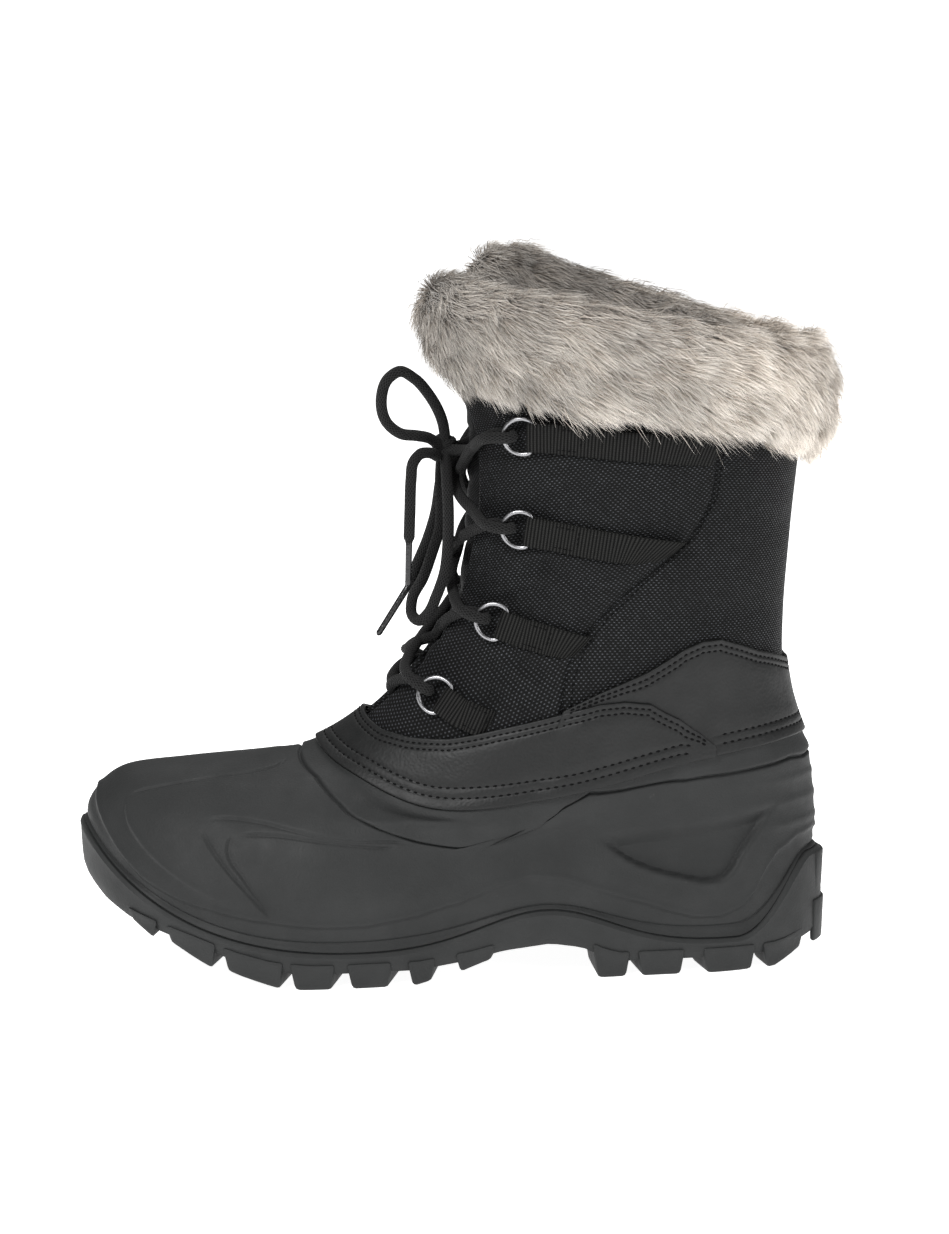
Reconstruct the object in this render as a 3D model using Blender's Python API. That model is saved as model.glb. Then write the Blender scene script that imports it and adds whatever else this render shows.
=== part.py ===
"""A laced winter boot for the left foot: a moulded rubber shell on a lugged outsole, a padded nylon upper with
synthetic-leather overlays, webbing straps with D-rings, a round lace tied in a bow, and a fur collar.

The toe points along -X, the outer (lateral) side of the foot faces -Y, and the boot stands on Z = 0.
Tables are in millimetres, and every mesh is made in metres.

Everything follows one skin: closed sections stacked from the seam of the sole to the top edge of the leg. A point on
it has an angle, 0 at the toe, 90 on the outer side, 180 at the heel and 270 on the inner side, and a level, the
number of its section with a fraction. Each solid lies between offsets from that skin.
"""

from collections import namedtuple
from math import cos, pi, radians, sin

import bmesh
import bpy
import numpy as np
from mathutils import Matrix, Vector

MM = 0.001
GAP = 0.3  # left between two pieces that meet

# ---------------------------------------------------------------- sizes
SHELL_WALL = 3.0
UPPER_WALL = 4.0  # nylon, foam and lining sewn together
OVERLAY = 1.5
TONGUE_WALL = 3.0
# level, and how far out from the skin the tongue's middle stands there
TONGUE_STAND = ((7.0, -5.0), (8.3, -4.0), (8.8, -2.2), (9.3, -1.0), (9.9, -2.4), (10.4, -3.2))
INSOLE_THICKNESS = 4.5
AHEAD = 4.3  # the skin's zero lies this far behind the middle of the boot, and the frame's lies under the middle
FUR_OUTSIDE = 13.0  # depth of the pile outside the leg
FUR_THIN = 4.0  # less of it at the two front ends
FUR_INSIDE = 5.0
# angle, and how far the fur stands over the leg's top edge: lower on the near side, with a tuft on the far one
FUR_RISE = ((9, 12), (18, 10), (34, 5), (90, 4), (150, 4), (180, 5.5), (231, 6.5), (253, 7.7), (273, 10), (287, 14),
            (302, 21), (322, 21))
FUR_ENDS = (9, 322)
STRAP_WIDTH = 11.0
PLY = 0.9  # one layer of the webbing, folded over the ring
PLY_LOW = 0.95  # height of the lower ply's middle over the skin
PLY_HIGH = 2.15
WIRE = 1.8  # of the D-rings
RING_HALF = 6.8  # half the height of the D, to the middle of the wire
RING_REACH = 10.6  # from the bar to the top of the arc
RING_TILT = 16  # degrees that the arc stands off the cloth
LACE = 4.1
LACE_STEP = 5.2  # between points along it
AGLET = 2.6
LEATHER_GAP = 0.5  # the leather stands off the bent skin a little more
# the angles of the columns from the toe to the heel, closer together where the foot turns
HALF_ANGLES = (0, 5, 10, 16, 22, 30, 39, 49, 59, 70, 81, 92, 103, 114, 126, 138, 148, 157, 165, 173, 180)
AROUND = 2 * len(HALF_ANGLES) - 2  # points round one section

# ---------------------------------------------------------------- finishes
Finish = namedtuple("Finish", "color roughness metallic")
FINISHES = {
    "sole_rubber": Finish((0.040, 0.041, 0.042), 0.62, 0),
    "shell_rubber": Finish((0.045, 0.046, 0.047), 0.55, 0),
    "nylon": Finish((0.012, 0.014, 0.018), 0.7, 0),
    "tongue_nylon": Finish((0.011, 0.013, 0.016), 0.75, 0),
    "synthetic_leather": Finish((0.028, 0.029, 0.031), 0.5, 0),
    "felt": Finish((0.09, 0.09, 0.085), 0.95, 0),
    "faux_fur": Finish((0.55, 0.51, 0.46), 0.9, 0),
    "webbing": Finish((0.012, 0.012, 0.011), 0.8, 0),
    "steel": Finish((0.40, 0.40, 0.41), 0.3, 1),
    "lace_yarn": Finish((0.013, 0.013, 0.013), 0.85, 0),
    "aglet_film": Finish((0.01, 0.01, 0.01), 0.3, 0),
}
# what each piece is made of, by the start of its name
MADE_OF = {
    "outsole": "sole_rubber", "shell": "shell_rubber", "upper": "nylon", "tongue": "tongue_nylon",
    "mudguard": "synthetic_leather", "heel_counter": "synthetic_leather", "insole": "felt",
    "fur_collar": "faux_fur", "strap": "webbing", "ring": "steel", "lace": "lace_yarn", "aglet": "aglet_film",
}

# ---------------------------------------------------------------- the skin
STATIONS = (0, 30, 60, 90, 120, 150, 180)
Section = namedtuple("Section", "name front back toe side leg width swing heights")
# front, back: the ends of the section along X. toe, side: how full the foot's outline is there.
# leg: 0 follows the foot's outline and 1 an ellipse of half-width `width`. swing: the toe's shift to the inner side.
# heights: Z at the seven stations from the toe to the heel.
SECTIONS = (
    Section("seam", -149.5, 133.8, 1.00, 1.00, 0.0, 46, 8, None),
    Section("bulge", -148.2, 133.6, 1.03, 1.03, 0.0, 46, 8, (63, 48, 33, 33, 32, 38, 50)),
    Section("shoulder", -143.4, 133.4, 0.96, 1.00, 0.0, 46, 8, (69.2, 59.5, 45, 42, 44, 48, 58)),
    Section("toe_top", -132.0, 132.9, 0.86, 0.95, 0.0, 45, 7, (76.3, 68, 56, 49, 55, 58, 66)),
    Section("crown", -109.0, 132.1, 0.76, 0.92, 0.1, 44, 6, (78.8, 74, 63, 54, 65, 68, 73)),
    Section("vamp", -80.0, 131.3, 0.76, 0.92, 0.2, 43, 4, (81.2, 76.8, 64, 60, 74, 78, 80)),
    Section("rim", -57.3, 128.3, 0.82, 0.92, 0.5, 42, 2, (86.2, 78.6, 67, 72, 82.5, 87, 87)),
    Section("throat", -33.4, 123.2, 0.82, 0.92, 0.8, 41, 0, (103.2, 99.4, 96, 98, 102, 104, 104)),
    Section("ankle", -9.8, 120.9, 0.85, 0.95, 1.0, 42, 0, (136, 134, 132, 131, 130, 130, 129)),
    Section("calf", -0.3, 123.8, 0.9, 1.0, 1.0, 45, 0, (176, 175, 173, 170, 168, 166, 165)),
    Section("lacing_top", 0.0, 126.9, 0.9, 1.0, 1.0, 47, 0, (207, 206, 204, 200, 196, 193, 192)),
    Section("flare", -5.0, 129.0, 0.9, 1.0, 1.0, 48, 0, (226, 225, 223, 219, 215, 212, 211)),
    Section("top_edge", -10.0, 129.6, 0.9, 1.0, 1.0, 48.5, 0, (258, 257, 254, 248, 240, 234, 233)),
)
FOOT_OUTER = (62, 70, 60.5, 46, 45, 55, 42)  # half-width over the sine of the angle, at the stations
FOOT_INNER = (60, 64, 53, 38, 39, 54, 42)


def smooth(knots, values, at):
    """The curve through the values at the knots, rounded like a bent batten and level at its two ends."""
    knots, values, at = np.asarray(knots, float), np.asarray(values, float), np.asarray(at, float)
    spare = (slice(None),) + (None,) * (values.ndim - 1)
    slopes = np.zeros_like(values)
    slopes[1:-1] = (values[2:] - values[:-2]) / (knots[2:] - knots[:-2])[spare]
    return hermite(knots, values, slopes, at)


def hermite(knots, values, slopes, at):
    """The piecewise cubic with those values and slopes."""
    span = np.clip(np.searchsorted(knots, at, side="right") - 1, 0, len(knots) - 2)
    width = knots[span + 1] - knots[span]
    share = (at - knots[span]) / width
    extra = (...,) + (None,) * (values.ndim - 1)
    share, width = share[extra], width[extra]
    start, end = values[span], values[span + 1]
    leave, arrive = slopes[span] * width, slopes[span + 1] * width
    square, cube = share**2, share**3
    return (
        (2 * cube - 3 * square + 1) * start
        + (cube - 2 * square + share) * leave
        + (3 * square - 2 * cube) * end
        + (cube - square) * arrive
    )


def ease(value):
    """0 below 0, 1 above 1, and a smooth step between."""
    value = np.clip(value, 0, 1)
    return value * value * (3 - 2 * value)


def seam_height(angle):
    """Height of the sole's seam: it climbs over the toe, the arch and the back of the heel."""
    toe = 43 * np.clip(np.cos(np.radians(angle)), 0, 1) ** 3.6
    arch = 14 * np.exp(-(((angle - 105) / 14) ** 2))
    heel = 28 * ease((angle - 140) / 26)
    return 13.5 + toe + arch + heel


def section_points(section, angle):
    """Points of one section at angles from 0 to 360, in millimetres."""
    angle = np.asarray(angle, float) % 360
    outer = angle <= 180
    half = np.where(outer, angle, 360 - angle)
    turn = np.radians(half)
    foot = np.where(outer, smooth(STATIONS, FOOT_OUTER, half), smooth(STATIONS, FOOT_INNER, half))
    fullness = section.toe + (section.side - section.toe) * ease(half / 90)
    reach = (1 - section.leg) * foot * fullness + section.leg * section.width
    x = section.front + (section.back - section.front) * (1 - np.cos(turn)) / 2
    y = section.swing * np.clip(np.cos(turn), 0, 1) ** 2 + np.where(outer, -1, 1) * reach * np.sin(turn)
    z = seam_height(half) if section.heights is None else smooth(STATIONS, section.heights, half)
    return np.stack([x, y, z], -1)


def skin(angle, level):
    """Points of the skin, in millimetres, at arrays of angles and levels of the same shape."""
    angle, level = np.broadcast_arrays(np.asarray(angle, float), np.asarray(level, float))
    stack = np.stack([section_points(section, angle) for section in SECTIONS])
    slopes = np.empty_like(stack)
    slopes[1:-1] = (stack[2:] - stack[:-2]) / 2
    slopes[0], slopes[-1] = stack[1] - stack[0], stack[-1] - stack[-2]
    low = np.clip(np.floor(level).astype(int), 0, len(SECTIONS) - 2)
    share = (level - low)[..., None]
    place = np.indices(low.shape)
    start, end = stack[(low, *place)], stack[(low + 1, *place)]
    leave, arrive = slopes[(low, *place)], slopes[(low + 1, *place)]
    square, cube = share**2, share**3
    return (
        (2 * cube - 3 * square + 1) * start
        + (cube - 2 * square + share) * leave
        + (3 * square - 2 * cube) * end
        + (cube - square) * arrive
    )


def offset_skin(angle, level, out):
    """Points that lie `out` millimetres outside the skin (inside where negative)."""
    step = 0.5
    small = 0.02
    along = skin(np.asarray(angle) + step, level) - skin(np.asarray(angle) - step, level)
    up = skin(angle, np.asarray(level) + small) - skin(angle, np.asarray(level) - small)
    normal = np.cross(along, up)
    normal /= np.linalg.norm(normal, axis=-1, keepdims=True)
    return skin(angle, level) + normal * np.asarray(out)[..., None]


def skin_at(x, z, inner=False):
    """The angle and level of the skin at that X and Z, on the outer side of the foot or on the inner one."""
    x, z = np.broadcast_arrays(np.asarray(x, float), np.asarray(z, float))
    angles, levels = np.meshgrid(np.arange(2.0, 180, 4), np.arange(0, 12.01, 0.25), indexing="ij")
    if inner:
        angles = 360 - angles
    grid = skin(angles, levels)
    far = (grid[..., 0] - x[..., None, None]) ** 2 + (grid[..., 2] - z[..., None, None]) ** 2
    nearest = far.reshape(*x.shape, -1).argmin(-1)
    angle, level = angles.ravel()[nearest], levels.ravel()[nearest]
    for _ in range(12):
        here = skin(angle, level)
        turn = (skin(angle + 0.1, level) - here) / 0.1
        climb = (skin(angle, level + 0.01) - here) / 0.01
        miss_x, miss_z = x - here[..., 0], z - here[..., 2]
        scale = turn[..., 0] * climb[..., 2] - turn[..., 2] * climb[..., 0]
        angle = angle + np.clip((miss_x * climb[..., 2] - miss_z * climb[..., 0]) / scale, -8, 8)
        level = np.clip(level + np.clip((turn[..., 0] * miss_z - turn[..., 2] * miss_x) / scale, -0.5, 0.5), 0, 12)
    return angle, level


def columns():
    """The angles of a closed piece's columns, from the toe round the outer side and back along the inner."""
    half = np.array(HALF_ANGLES, float)
    return np.concatenate([half, 360 - half[-2:0:-1]])


def along(line, half):
    """Level of an edge, drawn on the side of the boot as X and Z points, at angles from 0 to 180."""
    angle, level = skin_at(*np.array(line, float).T)
    order = np.argsort(angle)
    return np.interp(half, angle[order], level[order])


# ---------------------------------------------------------------- edges drawn on the skin, as X and Z
MUDGUARD_TOP = ((-41, 99.5), (-37.7, 96.3), (-31.2, 92.8), (-21.7, 91.7), (-6.6, 92.2), (12.3, 96.6), (31.1, 101.2))
MUDGUARD_TOP += ((50, 106.2), (59.4, 107), (68.8, 105.7), (80.1, 98.7), (87.6, 92.6), (93.2, 87.5))
MUDGUARD_REAR = MUDGUARD_TOP[-1]
COUNTER_TOP = ((36, 103.5), (49.9, 110.2), (67.7, 117.6), (82, 126), (88.5, 128.4), (95.5, 128.6), (103.2, 125.4))
COUNTER_TOP += ((110, 122), (121, 115.6))
COUNTER_FRONT = (35.5, 102)
LEATHER_LOW = 5.96  # level of the leather's lower edge, lapped over the rubber
SHELL_TOP = 6.2
SLIT_LOW = 6.95
# level, half-angle of the throat on the outer side and on the inner side
THROAT = ((6.95, 12, 12), (7.5, 18, 18), (8, 22, 22), (9, 26, 26), (10, 25, 26), (11, 17, 31), (12, 11, 36))

# ---------------------------------------------------------------- heights under the foot, as X and Z
TREAD = ((-146, 33), (-132, 24), (-124, 20.5), (-113.5, 16), (-103, 11), (-91.4, 6.2), (-78.4, 2.6), (-68, 0), (-24, 0))
TREAD += ((-14, 1.6), (-5, 5), (9, 9), (30, 9), (46, 0), (115, 0), (129, 4.5), (137, 7))
BASE = ((-152, 42), (-140, 32), (-130, 26), (-118, 21.5), (-105, 16.8), (-90, 11.5), (-75, 7.5), (-60, 6), (-20, 6))
BASE += ((0, 9), (12, 12), (30, 14), (42, 12), (50, 8), (56, 6), (118, 6), (130, 9), (137, 11))
FLOOR = ((-152, 52), (-144, 46), (-130, 36), (-105, 25), (-90, 19.5), (-75, 15), (-60, 13.5), (-20, 13.5), (30, 18.5))
FLOOR += ((60, 20), (137, 20))


def height(profile, x):
    """Z of one of the profiles under the foot."""
    return np.interp(x, *np.array(profile, float).T)


# ---------------------------------------------------------------- meshes
def mesh_object(name, corners, faces):
    """An object of those corners, in millimetres, and faces."""
    mesh = bpy.data.meshes.new(name)
    mesh.from_pydata((np.asarray(corners) * MM).tolist(), [], faces)
    work = bmesh.new()
    work.from_mesh(mesh)
    bmesh.ops.recalc_face_normals(work, faces=work.faces)
    work.to_mesh(mesh)
    work.free()
    return placed(name, mesh)


def placed(name, mesh):
    """An object of that mesh among the boot's pieces, with its finish."""
    item = bpy.data.objects.new(name, mesh)
    BOOT.objects.link(item)
    mesh.materials.clear()
    for start, finish in MADE_OF.items():
        if name.startswith(start):
            mesh.materials.append(material(finish))
    return item


def material(name):
    """The Principled material of that name, made once."""
    if name not in bpy.data.materials:
        finish = FINISHES[name]
        made = bpy.data.materials.new(name)
        made.use_nodes = True
        shader = made.node_tree.nodes["Principled BSDF"]
        shader.inputs["Base Color"].default_value = (*finish.color, 1)
        shader.inputs["Roughness"].default_value = finish.roughness
        shader.inputs["Metallic"].default_value = finish.metallic
    return bpy.data.materials[name]


def slab(name, front, back, kept=None, closed=False):
    """A solid between two grids of points. `kept` marks the cells that exist; a closed grid joins its ends."""
    rows, columns = front.shape[:2]
    cells = np.ones((rows - 1, columns if closed else columns - 1), bool) if kept is None else kept
    faces = []
    offset = rows * columns

    def corner(row, column):
        return row * columns + column % columns

    def has(row, column):
        if closed:
            column %= columns
        return 0 <= row < cells.shape[0] and 0 <= column < cells.shape[1] and cells[row, column]

    for row, column in zip(*np.nonzero(cells)):
        row, column = int(row), int(column)
        a, b = corner(row, column), corner(row, column + 1)
        c, d = corner(row + 1, column + 1), corner(row + 1, column)
        faces += [(a, b, c, d), (d + offset, c + offset, b + offset, a + offset)]
        for near, start, end in (
            (has(row - 1, column), b, a),
            (has(row + 1, column), d, c),
            (has(row, column - 1), a, d),
            (has(row, column + 1), c, b),
        ):
            if not near:
                faces.append((start, end, end + offset, start + offset))
    corners = np.concatenate([front.reshape(-1, 3), back.reshape(-1, 3)])
    used = sorted({index for face in faces for index in face})
    place = {index: number for number, index in enumerate(used)}
    return mesh_object(name, corners[used], [[place[index] for index in face] for face in faces])


def tube(name, path, radius, fineness=2, closed=False):
    """A round bar along a path, in millimetres, as a mesh."""
    curve = bpy.data.curves.new(name, "CURVE")
    curve.dimensions, curve.use_fill_caps = "3D", not closed
    curve.bevel_depth, curve.bevel_resolution = radius * MM, fineness
    spline = curve.splines.new("POLY")
    spline.points.add(len(path) - 1)
    for point, place in zip(spline.points, path):
        point.co = (*(np.array(place, float) * MM), 1)
    spline.use_cyclic_u = closed
    bar = bpy.data.objects.new(name, curve)
    BOOT.objects.link(bar)
    view = bpy.context.evaluated_depsgraph_get()
    mesh = bpy.data.meshes.new_from_object(bar.evaluated_get(view))
    bpy.data.objects.remove(bar)
    work = bmesh.new()
    work.from_mesh(mesh)
    bmesh.ops.remove_doubles(work, verts=work.verts, dist=1e-7)
    bmesh.ops.recalc_face_normals(work, faces=work.faces)
    work.to_mesh(mesh)
    work.free()
    return placed(name, mesh)


def join(base, others, itself=False):
    """Unite the others with the base and drop them. `itself` is for a piece that also crosses itself."""
    for other in others:
        CUTTERS.objects.link(other)
        BOOT.objects.unlink(other)
        other.hide_render, other.display_type = True, "WIRE"
        tool = base.modifiers.new("join", "BOOLEAN")
        tool.operation, tool.solver, tool.object = "UNION", "EXACT", other
        tool.use_self = itself
        apply(base)
        bpy.data.objects.remove(other)
    return base


def apply(item):
    """Give the object the mesh its modifiers make."""
    view = bpy.context.evaluated_depsgraph_get()
    made = bpy.data.meshes.new_from_object(item.evaluated_get(view))
    item.modifiers.clear()
    item.data = made


# ---------------------------------------------------------------- rubber
def rim_row(angle, out):
    """A row of the sole's rim, just below the seam."""
    return offset_skin(angle, 0, np.broadcast_to(out, angle.shape)) - (0, 0, 2 * GAP)


def sole_row(angle, out, z):
    """A row of the sole: the seam's outline moved out by `out`, at height z."""
    row = offset_skin(angle, 0, np.broadcast_to(out, angle.shape))
    row[:, 2] = z(row[:, 0]) if callable(z) else z
    return row


def outsole():
    """The lugged sole: a wall up to the seam, a floor, and blocks that also climb the wall."""
    angle = columns()
    half = np.minimum(angle, 360 - angle)
    heel = ease((half - 140) / 25)
    seam = seam_height(half)

    def base(x):
        return height(BASE, x)

    edge = sole_row(angle, np.full_like(angle, 1.2), 0)
    low = base(edge[:, 0])
    rows = [
        rim_row(angle, 1.2),
        sole_row(angle, 1.3 + 0.8 * heel, seam + (low - seam) * 0.4),
        sole_row(angle, 0.9 + 1.1 * heel, low + 1.5),
        sole_row(angle, -0.8 + 1.0 * heel, base),
    ]
    inside = [
        rim_row(angle, -SHELL_WALL - GAP),
        sole_row(angle, -SHELL_WALL - 1.8, lambda x: height(FLOOR, x)),
    ]
    loops = [rows[3], rows[2], rows[1], rows[0], inside[0], inside[1]]
    faces = []
    for number in range(len(loops) - 1):
        for column in range(AROUND):
            after = (column + 1) % AROUND
            a, b = number * AROUND + column, number * AROUND + after
            faces.append((a, b, b + AROUND, a + AROUND))
    for start in (0, (len(loops) - 1) * AROUND):
        faces.append((start, start + 1, start + AROUND - 1))
        for column in range(1, AROUND // 2 - 1):
            a, b = start + column, start + column + 1
            faces.append((a, b, start + AROUND - column - 1, start + AROUND - column))
        middle = start + AROUND // 2
        faces.append((middle - 1, middle, middle + 1))
    sole = mesh_object("outsole", np.concatenate(loops), faces)
    return join(sole, [lug(*size) for size in EDGE_LUGS] + [block(*size) for size in MIDDLE_LUGS]
                + [back_block(*size) for size in BACK_BLOCKS])


# outer-side X of the start and end of each edge lug, its share of the half-width, and its slant along X
LUG_ROWS = ((-131, -119, 0.5, 3), (-116, -96.5, 0.5, 4), (-94.3, -71, 0.52, 5), (-69, -51.5, 0.52, 5),
            (-47.5, -30.2, 0.52, 5), (-24.6, -13.7, 0.5, 4), (-6.4, 9, 0.5, 3), (46, 60.5, 0.5, -3),
            (63, 81.4, 0.5, -4), (88, 108.8, 0.5, -5), (111.2, 128.5, 0.5, -4))
EDGE_LUGS = tuple((side, *row) for row in LUG_ROWS for side in (-1, 1))
# middle lugs: X of the middle, half-width across, half-length, how far the middle points toward the toe
MIDDLE_LUGS = ((-112, 11, 5, 4), (-93, 14, 5, 5), (-73, 15, 5, 5), (-53, 15, 5, 5), (-33, 14, 5, 5),
               (62, 10, 5, 4), (82, 11, 5, 4), (117, 11, 5, -4))
# blocks across the back of the heel: Z of the lower and the upper edge, and half-angle
BACK_BLOCKS = ((25, 40, 11), (4.6, 21.6, 13))


def outline(x, side, out):
    """Y of the sole's edge at X."""
    angle = np.linspace(1, 179, 179)
    row = offset_skin(angle if side < 0 else 360 - angle, 0, np.full(angle.shape, out))
    return np.interp(x, row[:, 0], row[:, 1])


def lug(side, start, end, share, slant):
    """A block at the edge of the sole, from the tread up the side of the wall."""
    x = np.linspace(start, end, 4)
    edge = np.stack([x, outline(x, side, 2.1)], -1)
    core = np.stack([x + slant, outline(x, side, 0) * (1 - share)], -1)
    bottom = np.array([edge + (core - edge) * share_in for share_in in (0.04, 1)])
    top = np.array([edge + (core - edge) * share_in for share_in in (0, 1)])
    under = np.concatenate([bottom, height(TREAD, bottom[..., :1])], -1)
    over = np.concatenate([top, height(BASE, top[..., :1]) + np.array([[4.2]] * 4)], -1)
    over[1, :, 2] -= 2.7
    return slab("lug", under, over)


def block(x, half, length, point):
    """A chevron in the middle of the sole."""
    y = np.array([-half, 0, half])
    ridge = x - point * (1 - np.abs(y) / half)
    plan = np.array([np.stack([ridge - length, y], -1), np.stack([ridge + length, y], -1)])
    under = np.concatenate([plan, height(TREAD, plan[..., :1])], -1)
    over = np.concatenate([plan, height(BASE, plan[..., :1]) + 1.5], -1)
    return slab("lug", under, over)


def back_block(low, high, half):
    """A block across the back of the heel, standing 1 mm off its wall."""
    angle = np.linspace(180 - half, 180 + half, 5)
    outside = [sole_row(angle, 2.3 + 0 * angle, low), sole_row(angle, 3.2 + 0 * angle, high)]
    within = [sole_row(angle, 0.3 + 0 * angle, low + 0.6), sole_row(angle, 0.3 + 0 * angle, high - 0.4)]
    return slab("lug", np.array(outside), np.array(within))


def shell():
    """The moulded rubber foot, from the seam to the edge that the leather laps over."""
    levels = np.array([0, 0.6, 1.2, 2, 3, 4, 5, 5.6, 6, SHELL_TOP])
    angle = columns()
    angle, level = np.meshgrid(angle, levels)
    return slab("shell", offset_skin(angle, level, 0 * level), offset_skin(angle, level, 0 * level - SHELL_WALL),
                closed=True)


# ---------------------------------------------------------------- cloth and leather
def throat(level):
    """Half-angles of the throat at the levels, on the outer and the inner side."""
    table = np.array(THROAT, float)
    return np.interp(level, table[:, 0], table[:, 1]), np.interp(level, table[:, 0], table[:, 2])


def upper():
    """The padded nylon leg, closed round the instep at its foot and slit above."""
    levels = np.array([SHELL_TOP + 0.02, 6.5, SLIT_LOW, 7.4, 7.9, 8.4, 9, 9.7, 10.4, 11, 11.5, 12])
    front = 3  # columns of the closed band on each side of the middle
    rest = np.array(HALF_ANGLES[front:], float)
    rows = []
    for level in levels:
        outer, inner = throat(level)
        sides = []
        for edge in (outer, inner):
            behind = edge + (rest - rest[0]) * (180 - edge) / (180 - rest[0])
            sides.append(np.concatenate([np.arange(front) * edge / front, behind]))
        rows.append(np.concatenate([sides[0], 360 - sides[1][-2:0:-1]]))
    angle = np.array(rows)
    level = np.repeat(levels[:, None], angle.shape[1], 1)
    kept = np.ones((len(levels) - 1, angle.shape[1]), bool)
    kept[2:, :front] = kept[2:, -front:] = False
    return slab("upper", offset_skin(angle, level, 0 * level), offset_skin(angle, level, 0 * level - UPPER_WALL),
                kept, closed=True)


def guard_edge():
    """Half-angles where the mudguard and the heel counter meet, from its start to its end, and their levels."""
    start, end = skin_at(*np.array([COUNTER_FRONT, MUDGUARD_REAR], float).T)[0]
    half = np.concatenate([np.linspace(start, end - 4, 9), [end - 2, end]])
    return half, np.maximum(along(MUDGUARD_TOP, half), LEATHER_LOW + 0.06)


def mudguard():
    """The leather band round the instep, lapped over the rubber and rounded off at the ankle."""
    edge, edge_level = guard_edge()
    front = np.array([angle for angle in HALF_ANGLES if angle < edge[0] - 2], float)
    half = np.concatenate([front, edge])
    high = np.concatenate([along(MUDGUARD_TOP, front), edge_level])
    angle = np.concatenate([-half[:0:-1], half]) % 360
    high = np.concatenate([high[:0:-1], high])
    return overlay("mudguard", angle, np.full_like(high, LEATHER_LOW), high, 4)


def heel_counter():
    """The leather round the heel, behind the mudguard."""
    edge, edge_level = guard_edge()
    rear = np.linspace(edge[-1] + 1.5, 180, 8)
    half = np.concatenate([edge, rear])
    low = np.concatenate([edge_level + 0.04, np.full_like(rear, LEATHER_LOW)])
    high = np.maximum(along(COUNTER_TOP, half), low + 0.04)
    angle = np.concatenate([half, 360 - half[-2::-1]])
    return overlay("heel_counter", angle, np.concatenate([low, low[-2::-1]]), np.concatenate([high, high[-2::-1]]), 4)


def overlay(name, angle, low, high, steps):
    """A thin piece proud of the skin, between two edges."""
    share = np.linspace(0, 1, steps + 1)[:, None]
    level = low + (high - low) * share
    angle = np.repeat(angle[None], steps + 1, 0)
    return slab(name, offset_skin(angle, level, 0 * level + LEATHER_GAP + OVERLAY),
                offset_skin(angle, level, 0 * level + LEATHER_GAP))


def tongue_stand(level):
    """How far out the tongue's middle stands at the levels."""
    return np.interp(level, *np.array(TONGUE_STAND).T)


def tongue():
    """The padded tongue: tucked behind both facings, and standing forward between them."""
    levels = np.array([6.5, 6.9, 7.3, 7.8, 8.3, 8.8, 9.3, 9.8, 10.3, 10.8, 11.35])
    share = np.linspace(-1, 1, 13)
    outer, inner = throat(levels)
    side = np.where(share > 0, outer[:, None], inner[:, None]) + 9
    angle = share * side
    level = np.repeat(levels[:, None], len(share), 1)
    middle = ease((1 - 2 * np.clip(np.abs(share) - 0.12, 0, 0.5))) * ease((level - 7.0) / 0.6)
    middle = middle * (1 - ease((level - 10.4) / 0.6))
    behind = -UPPER_WALL - 2 * GAP
    out = behind + (tongue_stand(level) - behind) * middle
    return slab("tongue", offset_skin(angle % 360, level, out), offset_skin(angle % 360, level, out - TONGUE_WALL))


def insole():
    """The footbed on the floor of the sole."""
    angle = columns()
    rows = []
    for out, lift in ((-6.2, GAP), (-5.2, GAP + 1), (-5.2, GAP + INSOLE_THICKNESS - 0.8), (-6.2, GAP + INSOLE_THICKNESS)):
        rows.append(sole_row(angle, np.full_like(angle, out), lambda x, lift=lift: height(FLOOR, x) + lift))
    faces = []
    for number in range(len(rows) - 1):
        for column in range(AROUND):
            a, b = number * AROUND + column, number * AROUND + (column + 1) % AROUND
            faces.append((a, b, b + AROUND, a + AROUND))
    for start in (0, (len(rows) - 1) * AROUND):
        faces.append((start, start + 1, start + AROUND - 1))
        for column in range(1, AROUND // 2 - 1):
            a, b = start + column, start + column + 1
            faces.append((a, b, start + AROUND - column - 1, start + AROUND - column))
        middle = start + AROUND // 2
        faces.append((middle - 1, middle, middle + 1))
    return mesh_object("insole", np.concatenate(rows), faces)


def fur_collar():
    """The fur roll over the top edge of the leg, open at the throat."""
    angle = np.linspace(*FUR_ENDS, 35)
    half = np.minimum(angle, 360 - angle)
    low = 11.3 - 0.42 * ease((half - 10) / 30) - 0.72 * ease((half - 105) / 65)
    depth = FUR_OUTSIDE - FUR_THIN * ease((30 - half) / 18)
    above = smooth(*np.array(FUR_RISE, float).T, angle)
    # level as a share from the lower edge to the top edge, distance out, and lift
    inside = -UPPER_WALL - 2 * GAP
    clear = 2 * GAP
    ring = ((0.0, clear, 0), (0.0, depth * 0.6, -2), (0.3, depth, 0), (0.75, depth, 0), (1, depth - 2, above * 0.45),
            (1, 4, above), (1, inside - 1, above), (1, inside - FUR_INSIDE, above * 0.45),
            (0.66, inside - FUR_INSIDE, 0), (0.64, inside, 0), (0.8, inside, 0), (1, inside, clear),
            (1, clear, clear), (0.66, clear, 0), (0.33, clear, 0), (0.16, clear, 0))
    loops = []
    for share, out, lift in ring:
        row = offset_skin(angle, low + (12 - low) * share, np.broadcast_to(out, angle.shape))
        row[:, 2] += lift
        loops.append(row)
    loops = np.array(loops)  # one loop per corner of the section
    count, along_it = loops.shape[:2]
    faces = []
    for corner in range(count):
        after = (corner + 1) % count
        for step in range(along_it - 1):
            a, b = corner * along_it + step, after * along_it + step
            faces.append((a, a + 1, b + 1, b))
    for step in (0, along_it - 1):
        faces.append([corner * along_it + step for corner in range(count)])
    return mesh_object("fur_collar", loops.reshape(-1, 3), faces)


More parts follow.
